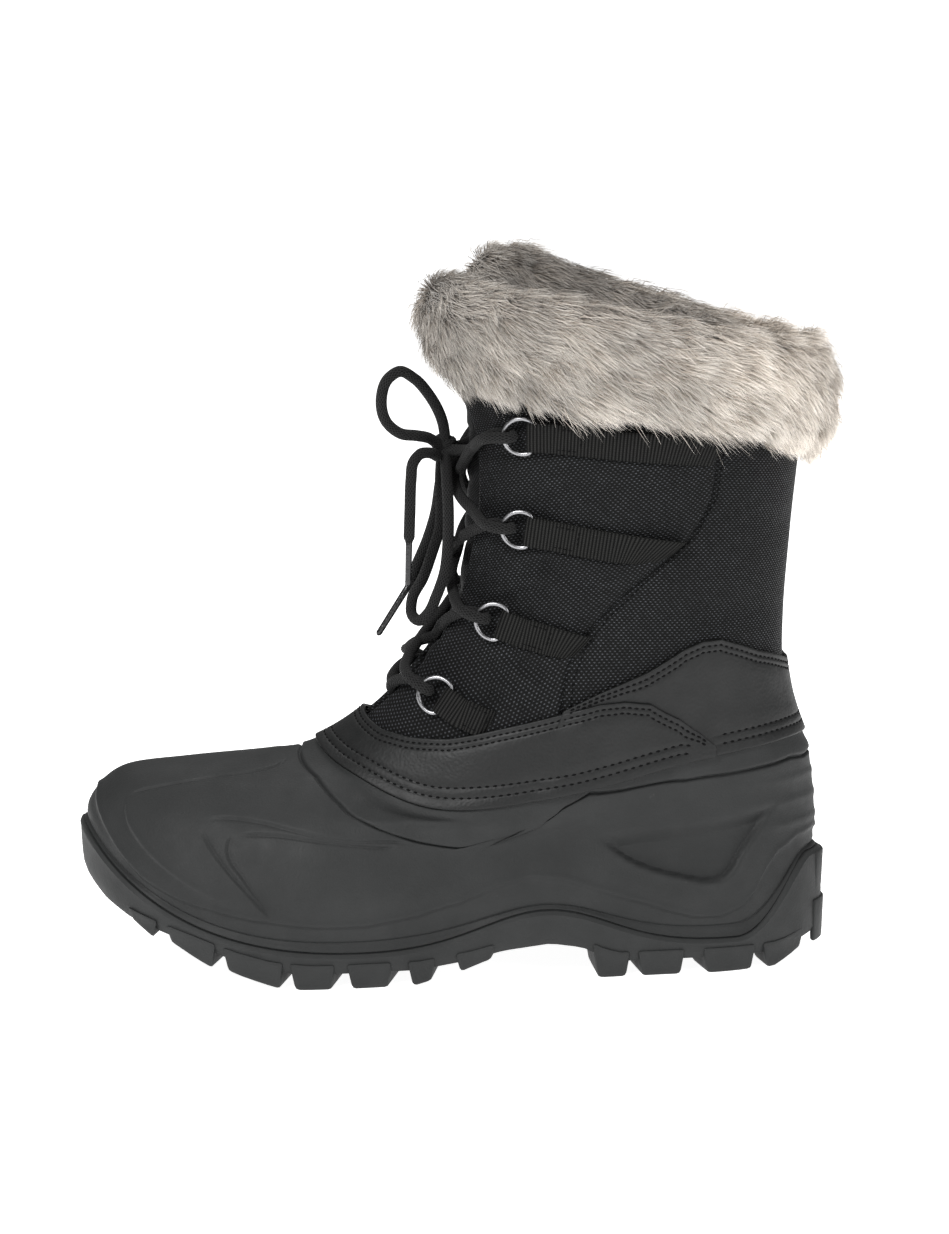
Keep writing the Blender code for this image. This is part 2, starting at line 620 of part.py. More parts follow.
# ---------------------------------------------------------------- straps, rings and lace
# X and Z of the folded end and of the sewn end of each strap, from the top down
STRAPS = (((27.2, 207.6), (95.5, 200.6)), ((26.0, 171.6), (78, 162.8)), ((15.4, 135.2), (43.5, 127.3)),
          ((-7.4, 105.4), (4.2, 100.3)))
SIDES = ("outer", "inner")


class Anchor:
    """The frame of a strap's folded end: its place on the skin, the way forward, the way up and the way out."""

    def __init__(self, number, side):
        inner = side == "inner"
        ends = np.array(STRAPS[number])
        self.angle, self.level = skin_at(ends[:, 0], ends[:, 1], inner)
        start, end = self.on(0.0, 0.0), self.on(0.02, 0.0)
        self.out = self.on(0.0, 1.0) - start
        back = end - start
        back -= self.out * (back @ self.out)
        self.forward = -back / np.linalg.norm(back)
        self.up = np.cross(self.forward, self.out) * (1 if inner else -1)
        self.length = float(np.linalg.norm(self.on(1.0, 0.0) - start))
        self.bar = start + self.out * (PLY_LOW + PLY / 2 + GAP + WIRE / 2)

    def on(self, share, out):
        """A point along the strap's middle line, `out` millimetres off the skin."""
        angle = self.angle[0] + (self.angle[1] - self.angle[0]) * share
        level = self.level[0] + (self.level[1] - self.level[0]) * share
        return offset_skin(np.array([angle]), np.array([level]), np.array([out]))[0]

    def ring(self, forward, up, out=0.0):
        """A point in the plane of the ring, which tilts off the cloth."""
        tilt = radians(RING_TILT)
        ahead = self.forward * cos(tilt) + self.out * sin(tilt)
        normal = self.out * cos(tilt) - self.forward * sin(tilt)
        return self.bar + ahead * forward + self.up * up + normal * out


def strap(number, side):
    """A webbing loop, folded over the bar of its ring, with both plies running back to the seam."""
    anchor = Anchor(number, side)
    turn = PLY / 2 + GAP + WIRE / 2
    middle = PLY_LOW + turn
    fold = [(8.5, PLY_HIGH), (5, middle + 0.5), (2.2, middle + turn * 0.92)]
    fold += [(turn * sin(radians(t)) * -1, middle + turn * cos(radians(t))) for t in (0, 36, 72, 108, 144, 180)]
    fold += [(8.5, PLY_LOW)]
    far = np.linspace(anchor.length, 12, max(2, round((anchor.length - 12) / 9) + 1))
    line = [(s, PLY_HIGH) for s in far] + fold + [(s, PLY_LOW) for s in far[::-1]]
    path = []
    for s, out in line:
        if s > 9:
            path.append(anchor.on(s / anchor.length, out))
        else:
            path.append(anchor.bar + anchor.out * (out - middle) - anchor.forward * s)
    path = np.array(path)
    ahead = np.gradient(path, axis=0)
    ahead /= np.linalg.norm(ahead, axis=1, keepdims=True)
    share = np.clip(np.array([s for s, _ in line]) / anchor.length, 0, 1)
    up = np.array([anchor.up] * len(path))
    up -= ahead * np.sum(up * ahead, axis=1, keepdims=True)
    out = np.cross(ahead, up)
    width = up * STRAP_WIDTH / 2
    front = np.stack([path + width + out * PLY / 2, path - width + out * PLY / 2], 1)
    back = np.stack([path + width - out * PLY / 2, path - width - out * PLY / 2], 1)
    return slab(f"strap_{side}_{number + 1}", front, back)


def d_ring(number, side):
    """A wire ring with a straight bar inside the fold of its strap."""
    anchor = Anchor(number, side)
    arc = RING_REACH - RING_HALF
    half = [(0, 0), (0, RING_HALF - 1.1), (0.8, RING_HALF - 0.3), (arc * 0.8, RING_HALF)]
    bend = [(arc + RING_HALF * sin(radians(t)), RING_HALF * cos(radians(t))) for t in range(0, 181, 30)]
    path = half + bend + [(forward, -up) for forward, up in half[:0:-1]]
    return tube(f"ring_{side}_{number + 1}", [anchor.ring(*point) for point in path], WIRE / 2, 1, closed=True)


def rounded(points, spacing):
    """Points about `spacing` apart on a smooth curve through the given ones."""
    points = np.asarray(points, float)
    distance = np.concatenate([[0], np.cumsum(np.linalg.norm(np.diff(points, axis=0), axis=1))])
    count = max(4, int(round(distance[-1] / spacing)))
    slopes = np.gradient(points, distance, axis=0)
    return hermite(distance, points, slopes, np.linspace(0, distance[-1], count + 1))


CROSSING_LOW = 2.7  # the lace's middle over the tongue where it crosses it
CROSSING_HIGH = 5.4
FIRST_LEAN = -0.15  # how much lower the first crossing hangs, clear of the knot
KNOT = (-6.6, -2.0, 198.3)


def through(number, side):
    """The lace's way through a ring: over the arc, down into the ring, and out under the arc."""
    anchor = Anchor(number, side)
    reach = WIRE / 2 + LACE / 2 + 0.5
    return [anchor.ring(RING_REACH + 2.0, 0, reach), anchor.ring(RING_REACH - 1.4, 0, reach * 0.94),
            anchor.ring(RING_REACH - reach, 0, 0), anchor.ring(RING_REACH - 1.4, 0, -reach * 0.94),
            anchor.ring(RING_REACH + 2.0, 0, -reach)]


def across(start, end, out, lean=0.0):
    """The lace's way over the tongue, between its points at two rings on opposite sides."""
    places = []
    for point in (start, end):
        angle, level = skin_at(point[0], point[2], point[1] > 0)
        places.append((float(angle) - (360 if angle > 180 else 0), float(level)))
    (start_angle, start_level), (end_angle, end_level) = places
    points = []
    for share in (0.13, 0.28, 0.5, 0.72, 0.87):
        angle = start_angle + (end_angle - start_angle) * share
        level = start_level + (end_level - start_level) * share + lean * sin(pi * share)
        over = float(tongue_stand(level)) + out
        rise = over if share == 0.5 else (3.8 if share in (0.13, 0.87) else max(over, 1.8))
        points.append(offset_skin(np.array([angle % 360]), np.array([level]), np.array([rise]))[0])
    return points


def lace_crossings():
    """The lace from the knot down through the rings and back, in one piece."""
    last = len(STRAPS) - 1
    halves = []
    for first, out in ((0, CROSSING_LOW), (1, CROSSING_HIGH)):
        side = SIDES[first]
        point = np.array(KNOT) + ((6.5, -7.6, 0.4) if side == "outer" else (6.5, 7.4, 0.4))
        path = [point]
        for number in range(last + 1):
            ring = through(number, SIDES[(first + number) % 2])
            if number:
                path += across(path[-1], ring[0], out, FIRST_LEAN if number == 1 else 0.0)
            path += ring
        halves.append((path, SIDES[(first + last) % 2]))
    (long, _), (short, _) = halves
    bar = across(long[-1], short[-1], CROSSING_LOW, -0.25)
    long = long + bar[:3] + [bar[2] + (bar[3] - bar[2]) * 0.12]
    short = short + bar[:1:-1]
    first = tube("lace_crossings", rounded(long, LACE_STEP), LACE / 2, 1)
    second = tube("lace_half", rounded(short, LACE_STEP), LACE / 2 * 0.97, 1)
    return join(first, [second])


# the bow's middle lines, in millimetres
LOOP_HIGH = ((-6, -3.5, 199), (-7.4, -7, 210), (-12.4, -12, 220.8), (-17.6, -16, 227.2), (-23, -19, 230.2),
             (-27.4, -20, 227.4), (-29.9, -20, 220.3), (-28.2, -18, 211), (-23, -16, 206.3), (-17, -13, 205),
             (-11.8, -8, 203), (-8, -4, 199))
LOOP_HANGING = ((-6.4, -5, 196.5), (-6, -14.5, 188.5), (-5.6, -19, 176.4), (-6, -21, 165.2), (-7.6, -22, 153.5),
                (-10.8, -22, 144.8), (-14, -20, 138.1), (-17.6, -18, 134.9), (-20.2, -15, 136.6), (-20.1, -13, 142.4),
                (-15.8, -12, 150.3), (-12.2, -11, 159.7), (-9, -10, 169.8), (-8.5, -8, 178.5), (-8.5, -5, 187),
                (-8, -2.5, 194.5))
END_HIGH = ((-9.6, -8.6, 196.5), (-12.4, -14, 198.5), (-15.8, -18, 198.6), (-18.5, -21, 195.7), (-19.4, -23, 189.5),
            (-20, -25, 178.4), (-20.6, -26, 166.8))
END_LOW = ((-7.4, 1.2, 192.3), (-8.8, 3.6, 184), (-10.6, 4, 173.3), (-14.2, 3, 162.3), (-18.5, 1.5, 152.8),
           (-21.4, 0, 145.6))
AGLETS = (((-20.6, -26, 166.4), (-21.3, -26, 150.4)), ((-21.6, 0, 145.25), (-33.3, -2, 127.5)))


def lace_bow():
    """The knot, with its standing loop and its hanging loop."""
    mesh = bpy.data.meshes.new("lace_bow")
    work = bmesh.new()
    bmesh.ops.create_uvsphere(work, u_segments=12, v_segments=8, radius=1)
    for vertex in work.verts:
        vertex.co = (Vector(KNOT) + Vector((vertex.co.x * 4.8, vertex.co.y * 5.4, vertex.co.z * 5.6))) * MM
    work.to_mesh(mesh)
    work.free()
    knot = placed("lace_bow", mesh)
    loops = [tube("loop", rounded(line, LACE_STEP), LACE / 2, 1) for line in (LOOP_HIGH, LOOP_HANGING)]
    return join(knot, loops, itself=True)


def lace_end(number, line):
    """A free end of the lace, and its aglet."""
    tube(f"lace_end_{number}", rounded(line, LACE_STEP), LACE / 2)
    tube(f"aglet_{number}", AGLETS[number - 1], AGLET / 2)


# ---------------------------------------------------------------- build
for leftover in list(bpy.data.objects):
    bpy.data.objects.remove(leftover)
BOOT = bpy.data.collections.new("winter_boot")
CUTTERS = bpy.data.collections.new("cutters")
for collection in (BOOT, CUTTERS):
    bpy.context.scene.collection.children.link(collection)

outsole()
shell()
upper()
mudguard()
heel_counter()
tongue()
insole()
fur_collar()
for number in range(len(STRAPS)):
    for side in SIDES:
        strap(number, side)
        d_ring(number, side)
lace_crossings()
lace_bow()
lace_end(1, END_HIGH)
lace_end(2, END_LOW)
for item in BOOT.objects:
    item.data.transform(Matrix.Translation((AHEAD * MM, 0, 0)))
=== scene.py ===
"""The looks of a laced winter boot for the left foot: moulded rubber foot and lugged sole, padded nylon leg
with synthetic-leather overlays, webbing straps with plated D-rings, a braided lace in a bow, a fur collar.

The toe points along -X and the outer side of the foot faces -Y. Tables are in millimetres, meshes in metres.
Everything is laid on one skin, the same that the solids of the frame were made on. A place on it has an
angle, 0 at the toe, 90 on the outer side, 180 at the heel and 270 on the inner side, and a level, 0 at the
seam of the sole and 12 at the top edge of the leg.
"""

import logging
from collections.abc import Sequence
from dataclasses import dataclass, field
from enum import Enum
from math import cos, pi, radians, sin, sqrt

import bpy
import numpy as np
from mathutils import Matrix, Vector
from mathutils.kdtree import KDTree


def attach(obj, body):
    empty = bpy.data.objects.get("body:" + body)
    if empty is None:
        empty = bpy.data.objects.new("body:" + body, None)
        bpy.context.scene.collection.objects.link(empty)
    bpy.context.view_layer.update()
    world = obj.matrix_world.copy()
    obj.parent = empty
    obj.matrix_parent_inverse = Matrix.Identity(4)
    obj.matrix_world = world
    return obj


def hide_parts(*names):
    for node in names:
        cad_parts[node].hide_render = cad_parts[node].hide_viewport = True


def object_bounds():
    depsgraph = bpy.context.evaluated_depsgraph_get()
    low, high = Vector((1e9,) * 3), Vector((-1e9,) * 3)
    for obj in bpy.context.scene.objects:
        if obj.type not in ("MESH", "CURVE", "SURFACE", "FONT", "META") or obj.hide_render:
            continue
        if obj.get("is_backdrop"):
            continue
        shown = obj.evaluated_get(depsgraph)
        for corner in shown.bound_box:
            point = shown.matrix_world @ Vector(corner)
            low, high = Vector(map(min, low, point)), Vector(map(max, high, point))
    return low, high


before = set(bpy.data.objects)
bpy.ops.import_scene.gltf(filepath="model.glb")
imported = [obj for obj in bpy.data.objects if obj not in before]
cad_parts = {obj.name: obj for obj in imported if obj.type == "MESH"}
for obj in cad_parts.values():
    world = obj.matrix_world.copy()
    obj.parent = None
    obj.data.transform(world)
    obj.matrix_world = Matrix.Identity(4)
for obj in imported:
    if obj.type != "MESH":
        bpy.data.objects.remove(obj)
CAD_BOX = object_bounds()

LOG = logging.getLogger("winter_boot")
MM = 0.001
AHEAD = np.array((4.3, 0.0, 0.0))  # the skin's zero lies this far behind the middle of the boot
Points = np.ndarray


# ---------------------------------------------------------------- curves and mixes
def cubic(start: Points, leave: Points, end: Points, arrive: Points, share: Points) -> Points:
    """The cubic from start to end with those slopes, read at shares of the way."""
    square, cube = share**2, share**3
    return (
        (2 * cube - 3 * square + 1) * start
        + (cube - 2 * square + share) * leave
        + (3 * square - 2 * cube) * end
        + (cube - square) * arrive
    )


def hermite(knots: Points, values: Points, slopes: Points, at: Points) -> Points:
    """The piecewise cubic with those values and slopes.

    Args:
        knots: Rising parameters of the knots.
        values: One value, or one point, for each knot.
        slopes: The slope of the curve at each knot.
        at: Where the curve is read.

    Returns:
        One value or point for each place in `at`.
    """
    span = np.clip(np.searchsorted(knots, at, side="right") - 1, 0, len(knots) - 2)
    width = knots[span + 1] - knots[span]
    share = (at - knots[span]) / width
    extra = (...,) + (None,) * (values.ndim - 1)
    share, width = share[extra], width[extra]
    start, end = values[span], values[span + 1]
    return cubic(start, slopes[span] * width, end, slopes[span + 1] * width, share)


def smooth(knots: Sequence[float], values: Sequence[float], at: Points) -> Points:
    """The curve through the values at the knots, rounded like a bent batten and level at its two ends."""
    knots, values, at = np.asarray(knots, float), np.asarray(values, float), np.asarray(at, float)
    slopes = np.zeros_like(values)
    slopes[1:-1] = (values[2:] - values[:-2]) / (knots[2:] - knots[:-2])
    return hermite(knots, values, slopes, at)


def rounded(points: Points, spacing: float) -> Points:
    """Points about `spacing` apart on a smooth curve through the given ones."""
    points = np.asarray(points, float)
    distance = np.concatenate([[0], np.cumsum(np.linalg.norm(np.diff(points, axis=0), axis=1))])
    count = max(4, int(round(distance[-1] / spacing)))
    slopes = np.gradient(points, distance, axis=0)
    return hermite(distance, points, slopes, np.linspace(0, distance[-1], count + 1))


def ease(value: Points) -> Points:
    """0 below 0, 1 above 1, and a smooth step between."""
    value = np.clip(value, 0, 1)
    return value * value * (3 - 2 * value)


def bell(value: Points, width: float) -> Points:
    """1 at 0, falling off smoothly over `width` to both sides."""
    return np.exp(-((value / width) ** 2))


def unit(vectors: Points) -> Points:
    """The vectors at length 1."""
    return vectors / np.maximum(np.linalg.norm(vectors, axis=-1, keepdims=True), 1e-9)


def run_length(points: Points, axis: int = 0) -> Points:
    """How far along a row or column of points each of them lies."""
    step = np.linalg.norm(np.diff(points, axis=axis), axis=-1)
    start = np.zeros_like(np.take(step, [0], axis))
    return np.concatenate([start, np.cumsum(step, axis=axis)], axis)


# ---------------------------------------------------------------- the skin
@dataclass(frozen=True)
class Section:
    """One closed section of the skin.

    front and back are its ends along X. toe and side say how full the foot's outline is there. leg is 0 where
    it follows the foot's outline and 1 where it is an ellipse of half-width `width`. swing shifts the toe to
    the inner side. heights are Z at the seven stations from toe to heel; the seam of the sole has its own.
    """

    front: float
    back: float
    toe: float
    side: float
    leg: float
    width: float
    swing: float
    heights: tuple[float, ...] | None


@dataclass(frozen=True)
class Skin:
    """The form of the boot, on which every piece is laid."""

    stations: tuple[int, ...] = (0, 30, 60, 90, 120, 150, 180)
    foot_outer: tuple[float, ...] = (62, 70, 60.5, 46, 45, 55, 42)
    foot_inner: tuple[float, ...] = (60, 64, 53, 38, 39, 54, 42)
    sections: tuple[Section, ...] = (
        Section(-149.5, 133.8, 1.00, 1.00, 0.0, 46, 8, None),
        Section(-148.2, 133.6, 1.03, 1.03, 0.0, 46, 8, (63, 48, 33, 33, 32, 38, 50)),
        Section(-143.4, 133.4, 0.96, 1.00, 0.0, 46, 8, (69.2, 59.5, 45, 42, 44, 48, 58)),
        Section(-132.0, 132.9, 0.86, 0.95, 0.0, 45, 7, (76.3, 68, 56, 49, 55, 58, 66)),
        Section(-109.0, 132.1, 0.76, 0.92, 0.1, 44, 6, (78.8, 74, 63, 54, 65, 68, 73)),
        Section(-80.0, 131.3, 0.76, 0.92, 0.2, 43, 4, (81.2, 76.8, 64, 60, 74, 78, 80)),
        Section(-57.3, 128.3, 0.82, 0.92, 0.5, 42, 2, (86.2, 78.6, 67, 72, 82.5, 87, 87)),
        Section(-33.4, 123.2, 0.82, 0.92, 0.8, 41, 0, (103.2, 99.4, 96, 98, 102, 104, 104)),
        Section(-9.8, 120.9, 0.85, 0.95, 1.0, 42, 0, (136, 134, 132, 131, 130, 130, 129)),
        Section(-0.3, 123.8, 0.9, 1.0, 1.0, 45, 0, (176, 175, 173, 170, 168, 166, 165)),
        Section(0.0, 126.9, 0.9, 1.0, 1.0, 47, 0, (207, 206, 204, 200, 196, 193, 192)),
        Section(-5.0, 129.0, 0.9, 1.0, 1.0, 48, 0, (226, 225, 223, 219, 215, 212, 211)),
        Section(-10.0, 129.6, 0.9, 1.0, 1.0, 48.5, 0, (258, 257, 254, 248, 240, 234, 233)),
    )

    def seam_height(self, half: Points) -> Points:
        """Height of the sole's seam: it climbs over the toe, the arch and the back of the heel."""
        toe = 43 * np.clip(np.cos(np.radians(half)), 0, 1) ** 3.6
        arch = 14 * np.exp(-(((half - 105) / 14) ** 2))
        heel = 28 * ease((half - 140) / 26)
        return 13.5 + toe + arch + heel

    def ring(self, section: Section, angle: Points) -> Points:
        """Points of one section at angles from 0 to 360."""
        angle = np.asarray(angle, float) % 360
        outer = angle <= 180
        half = np.where(outer, angle, 360 - angle)
        turn = np.radians(half)
        outside = smooth(self.stations, self.foot_outer, half)
        foot = np.where(outer, outside, smooth(self.stations, self.foot_inner, half))
        fullness = section.toe + (section.side - section.toe) * ease(half / 90)
        reach = (1 - section.leg) * foot * fullness + section.leg * section.width
        x = section.front + (section.back - section.front) * (1 - np.cos(turn)) / 2
        y = section.swing * np.clip(np.cos(turn), 0, 1) ** 2 + np.where(outer, -1, 1) * reach * np.sin(turn)
        heights = section.heights
        z = self.seam_height(half) if heights is None else smooth(self.stations, heights, half)
        return np.stack([x, y, z], -1)

    def at(self, angle: Points, level: Points) -> Points:
        """Points of the skin at arrays of angles and levels."""
        angle, level = np.broadcast_arrays(np.asarray(angle, float), np.asarray(level, float))
        stack = np.stack([self.ring(section, angle) for section in self.sections])
        slopes = np.empty_like(stack)
        slopes[1:-1] = (stack[2:] - stack[:-2]) / 2
        slopes[0], slopes[-1] = stack[1] - stack[0], stack[-1] - stack[-2]
        low = np.clip(np.floor(level).astype(int), 0, len(self.sections) - 2)
        share = (level - low)[..., None]
        place = np.indices(low.shape)
        start, end = stack[(low, *place)], stack[(low + 1, *place)]
        return cubic(start, slopes[(low, *place)], end, slopes[(low + 1, *place)], share)

    def normal(self, angle: Points, level: Points) -> Points:
        """The way out of the skin."""
        turn, climb = 0.5, 0.02
        along = self.at(np.asarray(angle) + turn, level) - self.at(np.asarray(angle) - turn, level)
        up = self.at(angle, np.asarray(level) + climb) - self.at(angle, np.asarray(level) - climb)
        return unit(np.cross(along, up))

    def offset(self, angle: Points, level: Points, out: Points) -> Points:
        """Points that lie `out` millimetres outside the skin."""
        return self.at(angle, level) + self.normal(angle, level) * np.asarray(out, float)[..., None]

    def find(self, x: Points, z: Points, inner: bool = False) -> tuple[Points, Points]:
        """The angle and level of the skin at that X and Z, seen from one side.

        Args:
            x: X in millimetres.
            z: Z in millimetres.
            inner: True for the inner side of the foot.

        Returns:
            Angles and levels.
        """
        x, z = np.broadcast_arrays(np.asarray(x, float), np.asarray(z, float))
        angles, levels = np.meshgrid(np.arange(2.0, 180, 4), np.arange(0, 12.01, 0.25), indexing="ij")
        if inner:
            angles = 360 - angles
        grid = self.at(angles, levels)
        far = (grid[..., 0] - x[..., None, None]) ** 2 + (grid[..., 2] - z[..., None, None]) ** 2
        nearest = far.reshape(*x.shape, -1).argmin(-1)
        angle, level = angles.ravel()[nearest], levels.ravel()[nearest]
        for _ in range(12):
            here = self.at(angle, level)
            turn = (self.at(angle + 0.1, level) - here) / 0.1
            climb = (self.at(angle, level + 0.01) - here) / 0.01
            miss_x, miss_z = x - here[..., 0], z - here[..., 2]
            scale = turn[..., 0] * climb[..., 2] - turn[..., 2] * climb[..., 0]
            angle = angle + np.clip((miss_x * climb[..., 2] - miss_z * climb[..., 0]) / scale, -8, 8)
            move = (turn[..., 0] * miss_z - turn[..., 2] * miss_x) / scale
            level = np.clip(level + np.clip(move, -0.5, 0.5), 0, 12)
        return angle, level

    def edge(self, line: Sequence[tuple[float, float]], half: Points) -> Points:
        """Level of an edge, drawn on the side of the boot as X and Z points, at angles from 0 to 180."""
        angle, level = self.find(*np.array(line, float).T)
        order = np.argsort(angle)
        return np.interp(half, angle[order], level[order])


SKIN = Skin()


@dataclass(frozen=True)
class Crease:
    """A line on the skin where the surface dips, swells or steps.

    line holds X and Z points on the side of the boot. groove is the dip along the line and step is how much
    higher the surface stands on the left of the line than on its right; both fade out over their widths.
    """

    line: tuple[tuple[float, float], ...]
    groove: float = 0.0
    groove_width: float = 1.0
    step: float = 0.0
    step_width: float = 1.2
    fade: float = 14.0
    ends: float = 0.12

    def route(self, inner: bool) -> Points:
        """Points on the skin along the line, on one side of the boot."""
        angle, level = SKIN.find(*np.array(self.line, float).T, inner)
        return rounded(SKIN.at(angle, level), 2.0)

    def distance(self, points: Points) -> Points:
        """How far each point is from the line, on whichever side of the boot is nearer."""
        return np.minimum(*(nearest_on(self.route(inner), points, points)[0] for inner in (False, True)))

    def relief(self, points: Points, normals: Points) -> Points:
        """How far out the crease moves each point of the skin, in millimetres."""
        total = np.zeros(points.shape[:-1])
        for inner in (False, True):
            mask = points[..., 1] > -6 if inner else points[..., 1] < 14
            route = self.route(inner)
            near, where, side = nearest_on(route, points[mask], normals[mask])
            window = ease(where / self.ends) * ease((1 - where) / self.ends) if self.ends else 1.0
            signed = near * side * (-1 if inner else 1)
            move = -self.groove * bell(near, self.groove_width)
            move = move + self.step * np.tanh(signed / self.step_width) * bell(near, self.fade)
            total[mask] += move * window
        return total


def nearest_on(route: Points, points: Points, normals: Points) -> tuple[Points, Points, Points]:
    """The nearest place on a route for each point.

    Args:
        route: Points along the route.
        points: The points to measure.
        normals: The way out of the surface at each of them.

    Returns:
        The distance, the share of the route's length, and 1 or -1 for the side of the route.
    """
    start, ahead = route[:-1], np.diff(route, axis=0)
    square = (ahead**2).sum(-1)
    best = np.full(len(points), 1e9)
    share, side = np.zeros(len(points)), np.ones(len(points))
    before = np.concatenate([[0], np.cumsum(np.sqrt(square))])
    for number in range(len(start)):
        away = points - start[number]
        along = np.clip((away @ ahead[number]) / square[number], 0, 1)
        gap = away - along[:, None] * ahead[number]
        far = np.linalg.norm(gap, axis=1)
        closer = far < best
        best[closer] = far[closer]
        share[closer] = (before[number] + along[closer] * sqrt(square[number])) / before[-1]
        turn = np.einsum("ij,ij->i", np.cross(normals[closer], ahead[number]), gap[closer])
        side[closer] = np.where(turn >= 0, 1, -1)
    return best, share, side


# ---------------------------------------------------------------- meshes
def clear_selection() -> None:
    """Deselects everything, the frame's own nodes too."""
    bpy.ops.object.select_all(action="DESELECT")


def choose(piece: bpy.types.Object) -> None:
    """Selects one object alone and makes it the active one."""
    clear_selection()
    bpy.context.view_layer.objects.active = piece
    piece.select_set(True)


def laid_grid(
    name: str, points: Points, chart: Points | None = None, around: bool = False, poles: bool = False
) -> bpy.types.Object:
    """A grid primitive whose corners are laid on the given points.

    Args:
        name: The piece's name.
        points: Rows and columns of points in millimetres.
        chart: The same rows and columns of U and V, in millimetres of cloth.
        around: True if the last column meets the first one.
        poles: True if rows close to a point and their corners are merged too.

    Returns:
        The piece, with one UV map and smooth faces that point outwards.
    """
    rows, columns = points.shape[:2]
    clear_selection()
    bpy.ops.mesh.primitive_grid_add(x_subdivisions=columns - 1, y_subdivisions=rows - 1, size=1)
    piece = bpy.context.object
    piece.name = piece.data.name = name
    mesh = piece.data
    mesh.vertices.foreach_set("co", (points.reshape(-1, 3) * MM).ravel().astype(np.float32))
    if chart is not None:
        corner = np.empty(len(mesh.loops), int)
        mesh.loops.foreach_get("vertex_index", corner)
        mesh.uv_layers.active.data.foreach_set("uv", chart.reshape(-1, 2)[corner].ravel().astype(np.float32))
    bpy.ops.object.mode_set(mode="EDIT")
    bpy.ops.mesh.select_all(action="SELECT")
    if around or poles:
        bpy.ops.mesh.remove_doubles(threshold=2e-6)
    bpy.ops.object.mode_set(mode="OBJECT")
    bpy.ops.object.shade_smooth()
    return piece


def face_out(piece: bpy.types.Object) -> None:
    """Turns the faces of a closed piece outwards."""
    choose(piece)
    bpy.ops.object.mode_set(mode="EDIT")
    bpy.ops.mesh.select_all(action="SELECT")
    bpy.ops.mesh.normals_make_consistent(inside=False)
    bpy.ops.object.mode_set(mode="OBJECT")


def pressed(piece: bpy.types.Object, creases: Sequence[Crease], reach: float, cuts: int = 1) -> None:
    """Splits the faces near some creases into smaller ones, then presses the creases into the piece.

    Args:
        piece: A piece whose faces point outwards.
        creases: The lines to press in.
        reach: How far from a line, in millimetres, the faces are split.
        cuts: How many times each of their edges is cut.
    """
    mesh = piece.data
    centres = np.empty(3 * len(mesh.polygons))
    mesh.polygons.foreach_get("center", centres)
    near = np.min([crease.distance(centres.reshape(-1, 3) / MM) for crease in creases], 0) < reach
    choose(piece)
    bpy.context.tool_settings.mesh_select_mode = (False, False, True)
    for parts, chosen in ((mesh.vertices, None), (mesh.edges, None), (mesh.polygons, near)):
        parts.foreach_set("select", np.zeros(len(parts), bool) if chosen is None else chosen)
    bpy.ops.object.mode_set(mode="EDIT")
    bpy.ops.mesh.subdivide(number_cuts=cuts, ngon=False, quadcorner="INNERVERT")
    bpy.ops.object.mode_set(mode="OBJECT")
    bpy.context.tool_settings.mesh_select_mode = (True, False, False)
    points, normals = np.empty(3 * len(mesh.vertices)), np.empty(3 * len(mesh.vertices))
    mesh.vertices.foreach_get("co", points)
    mesh.vertex_normals.foreach_get("vector", normals)
    points, normals = points.reshape(-1, 3) / MM, normals.reshape(-1, 3)
    move = sum(crease.relief(points, normals) for crease in creases)
    points = (points + normals * move[:, None]) * MM
    mesh.vertices.foreach_set("co", points.ravel().astype(np.float32))
    mesh.update()


def frames_along(path: Points, closed: bool = False) -> tuple[Points, Points, Points]:
    """The way ahead and two ways across at each point of a path, turning as little as possible.

    Args:
        path: Points along the path.
        closed: True if the path's end meets its start.

    Returns:
        The ways ahead, up and sideways.
    """
    if closed:
        ahead = unit(np.roll(path, -1, 0) - np.roll(path, 1, 0))
    else:
        ahead = unit(np.gradient(path, axis=0))
    up = np.empty_like(path)
    first = np.array([0.31, 0.12, 0.94])  # any way that no path sets out along
    up[0] = unit(first - ahead[0] * (first @ ahead[0]))
    for number in range(1, len(path)):
        up[number] = unit(up[number - 1] - ahead[number] * (up[number - 1] @ ahead[number]))
    return ahead, up, np.cross(ahead, up)


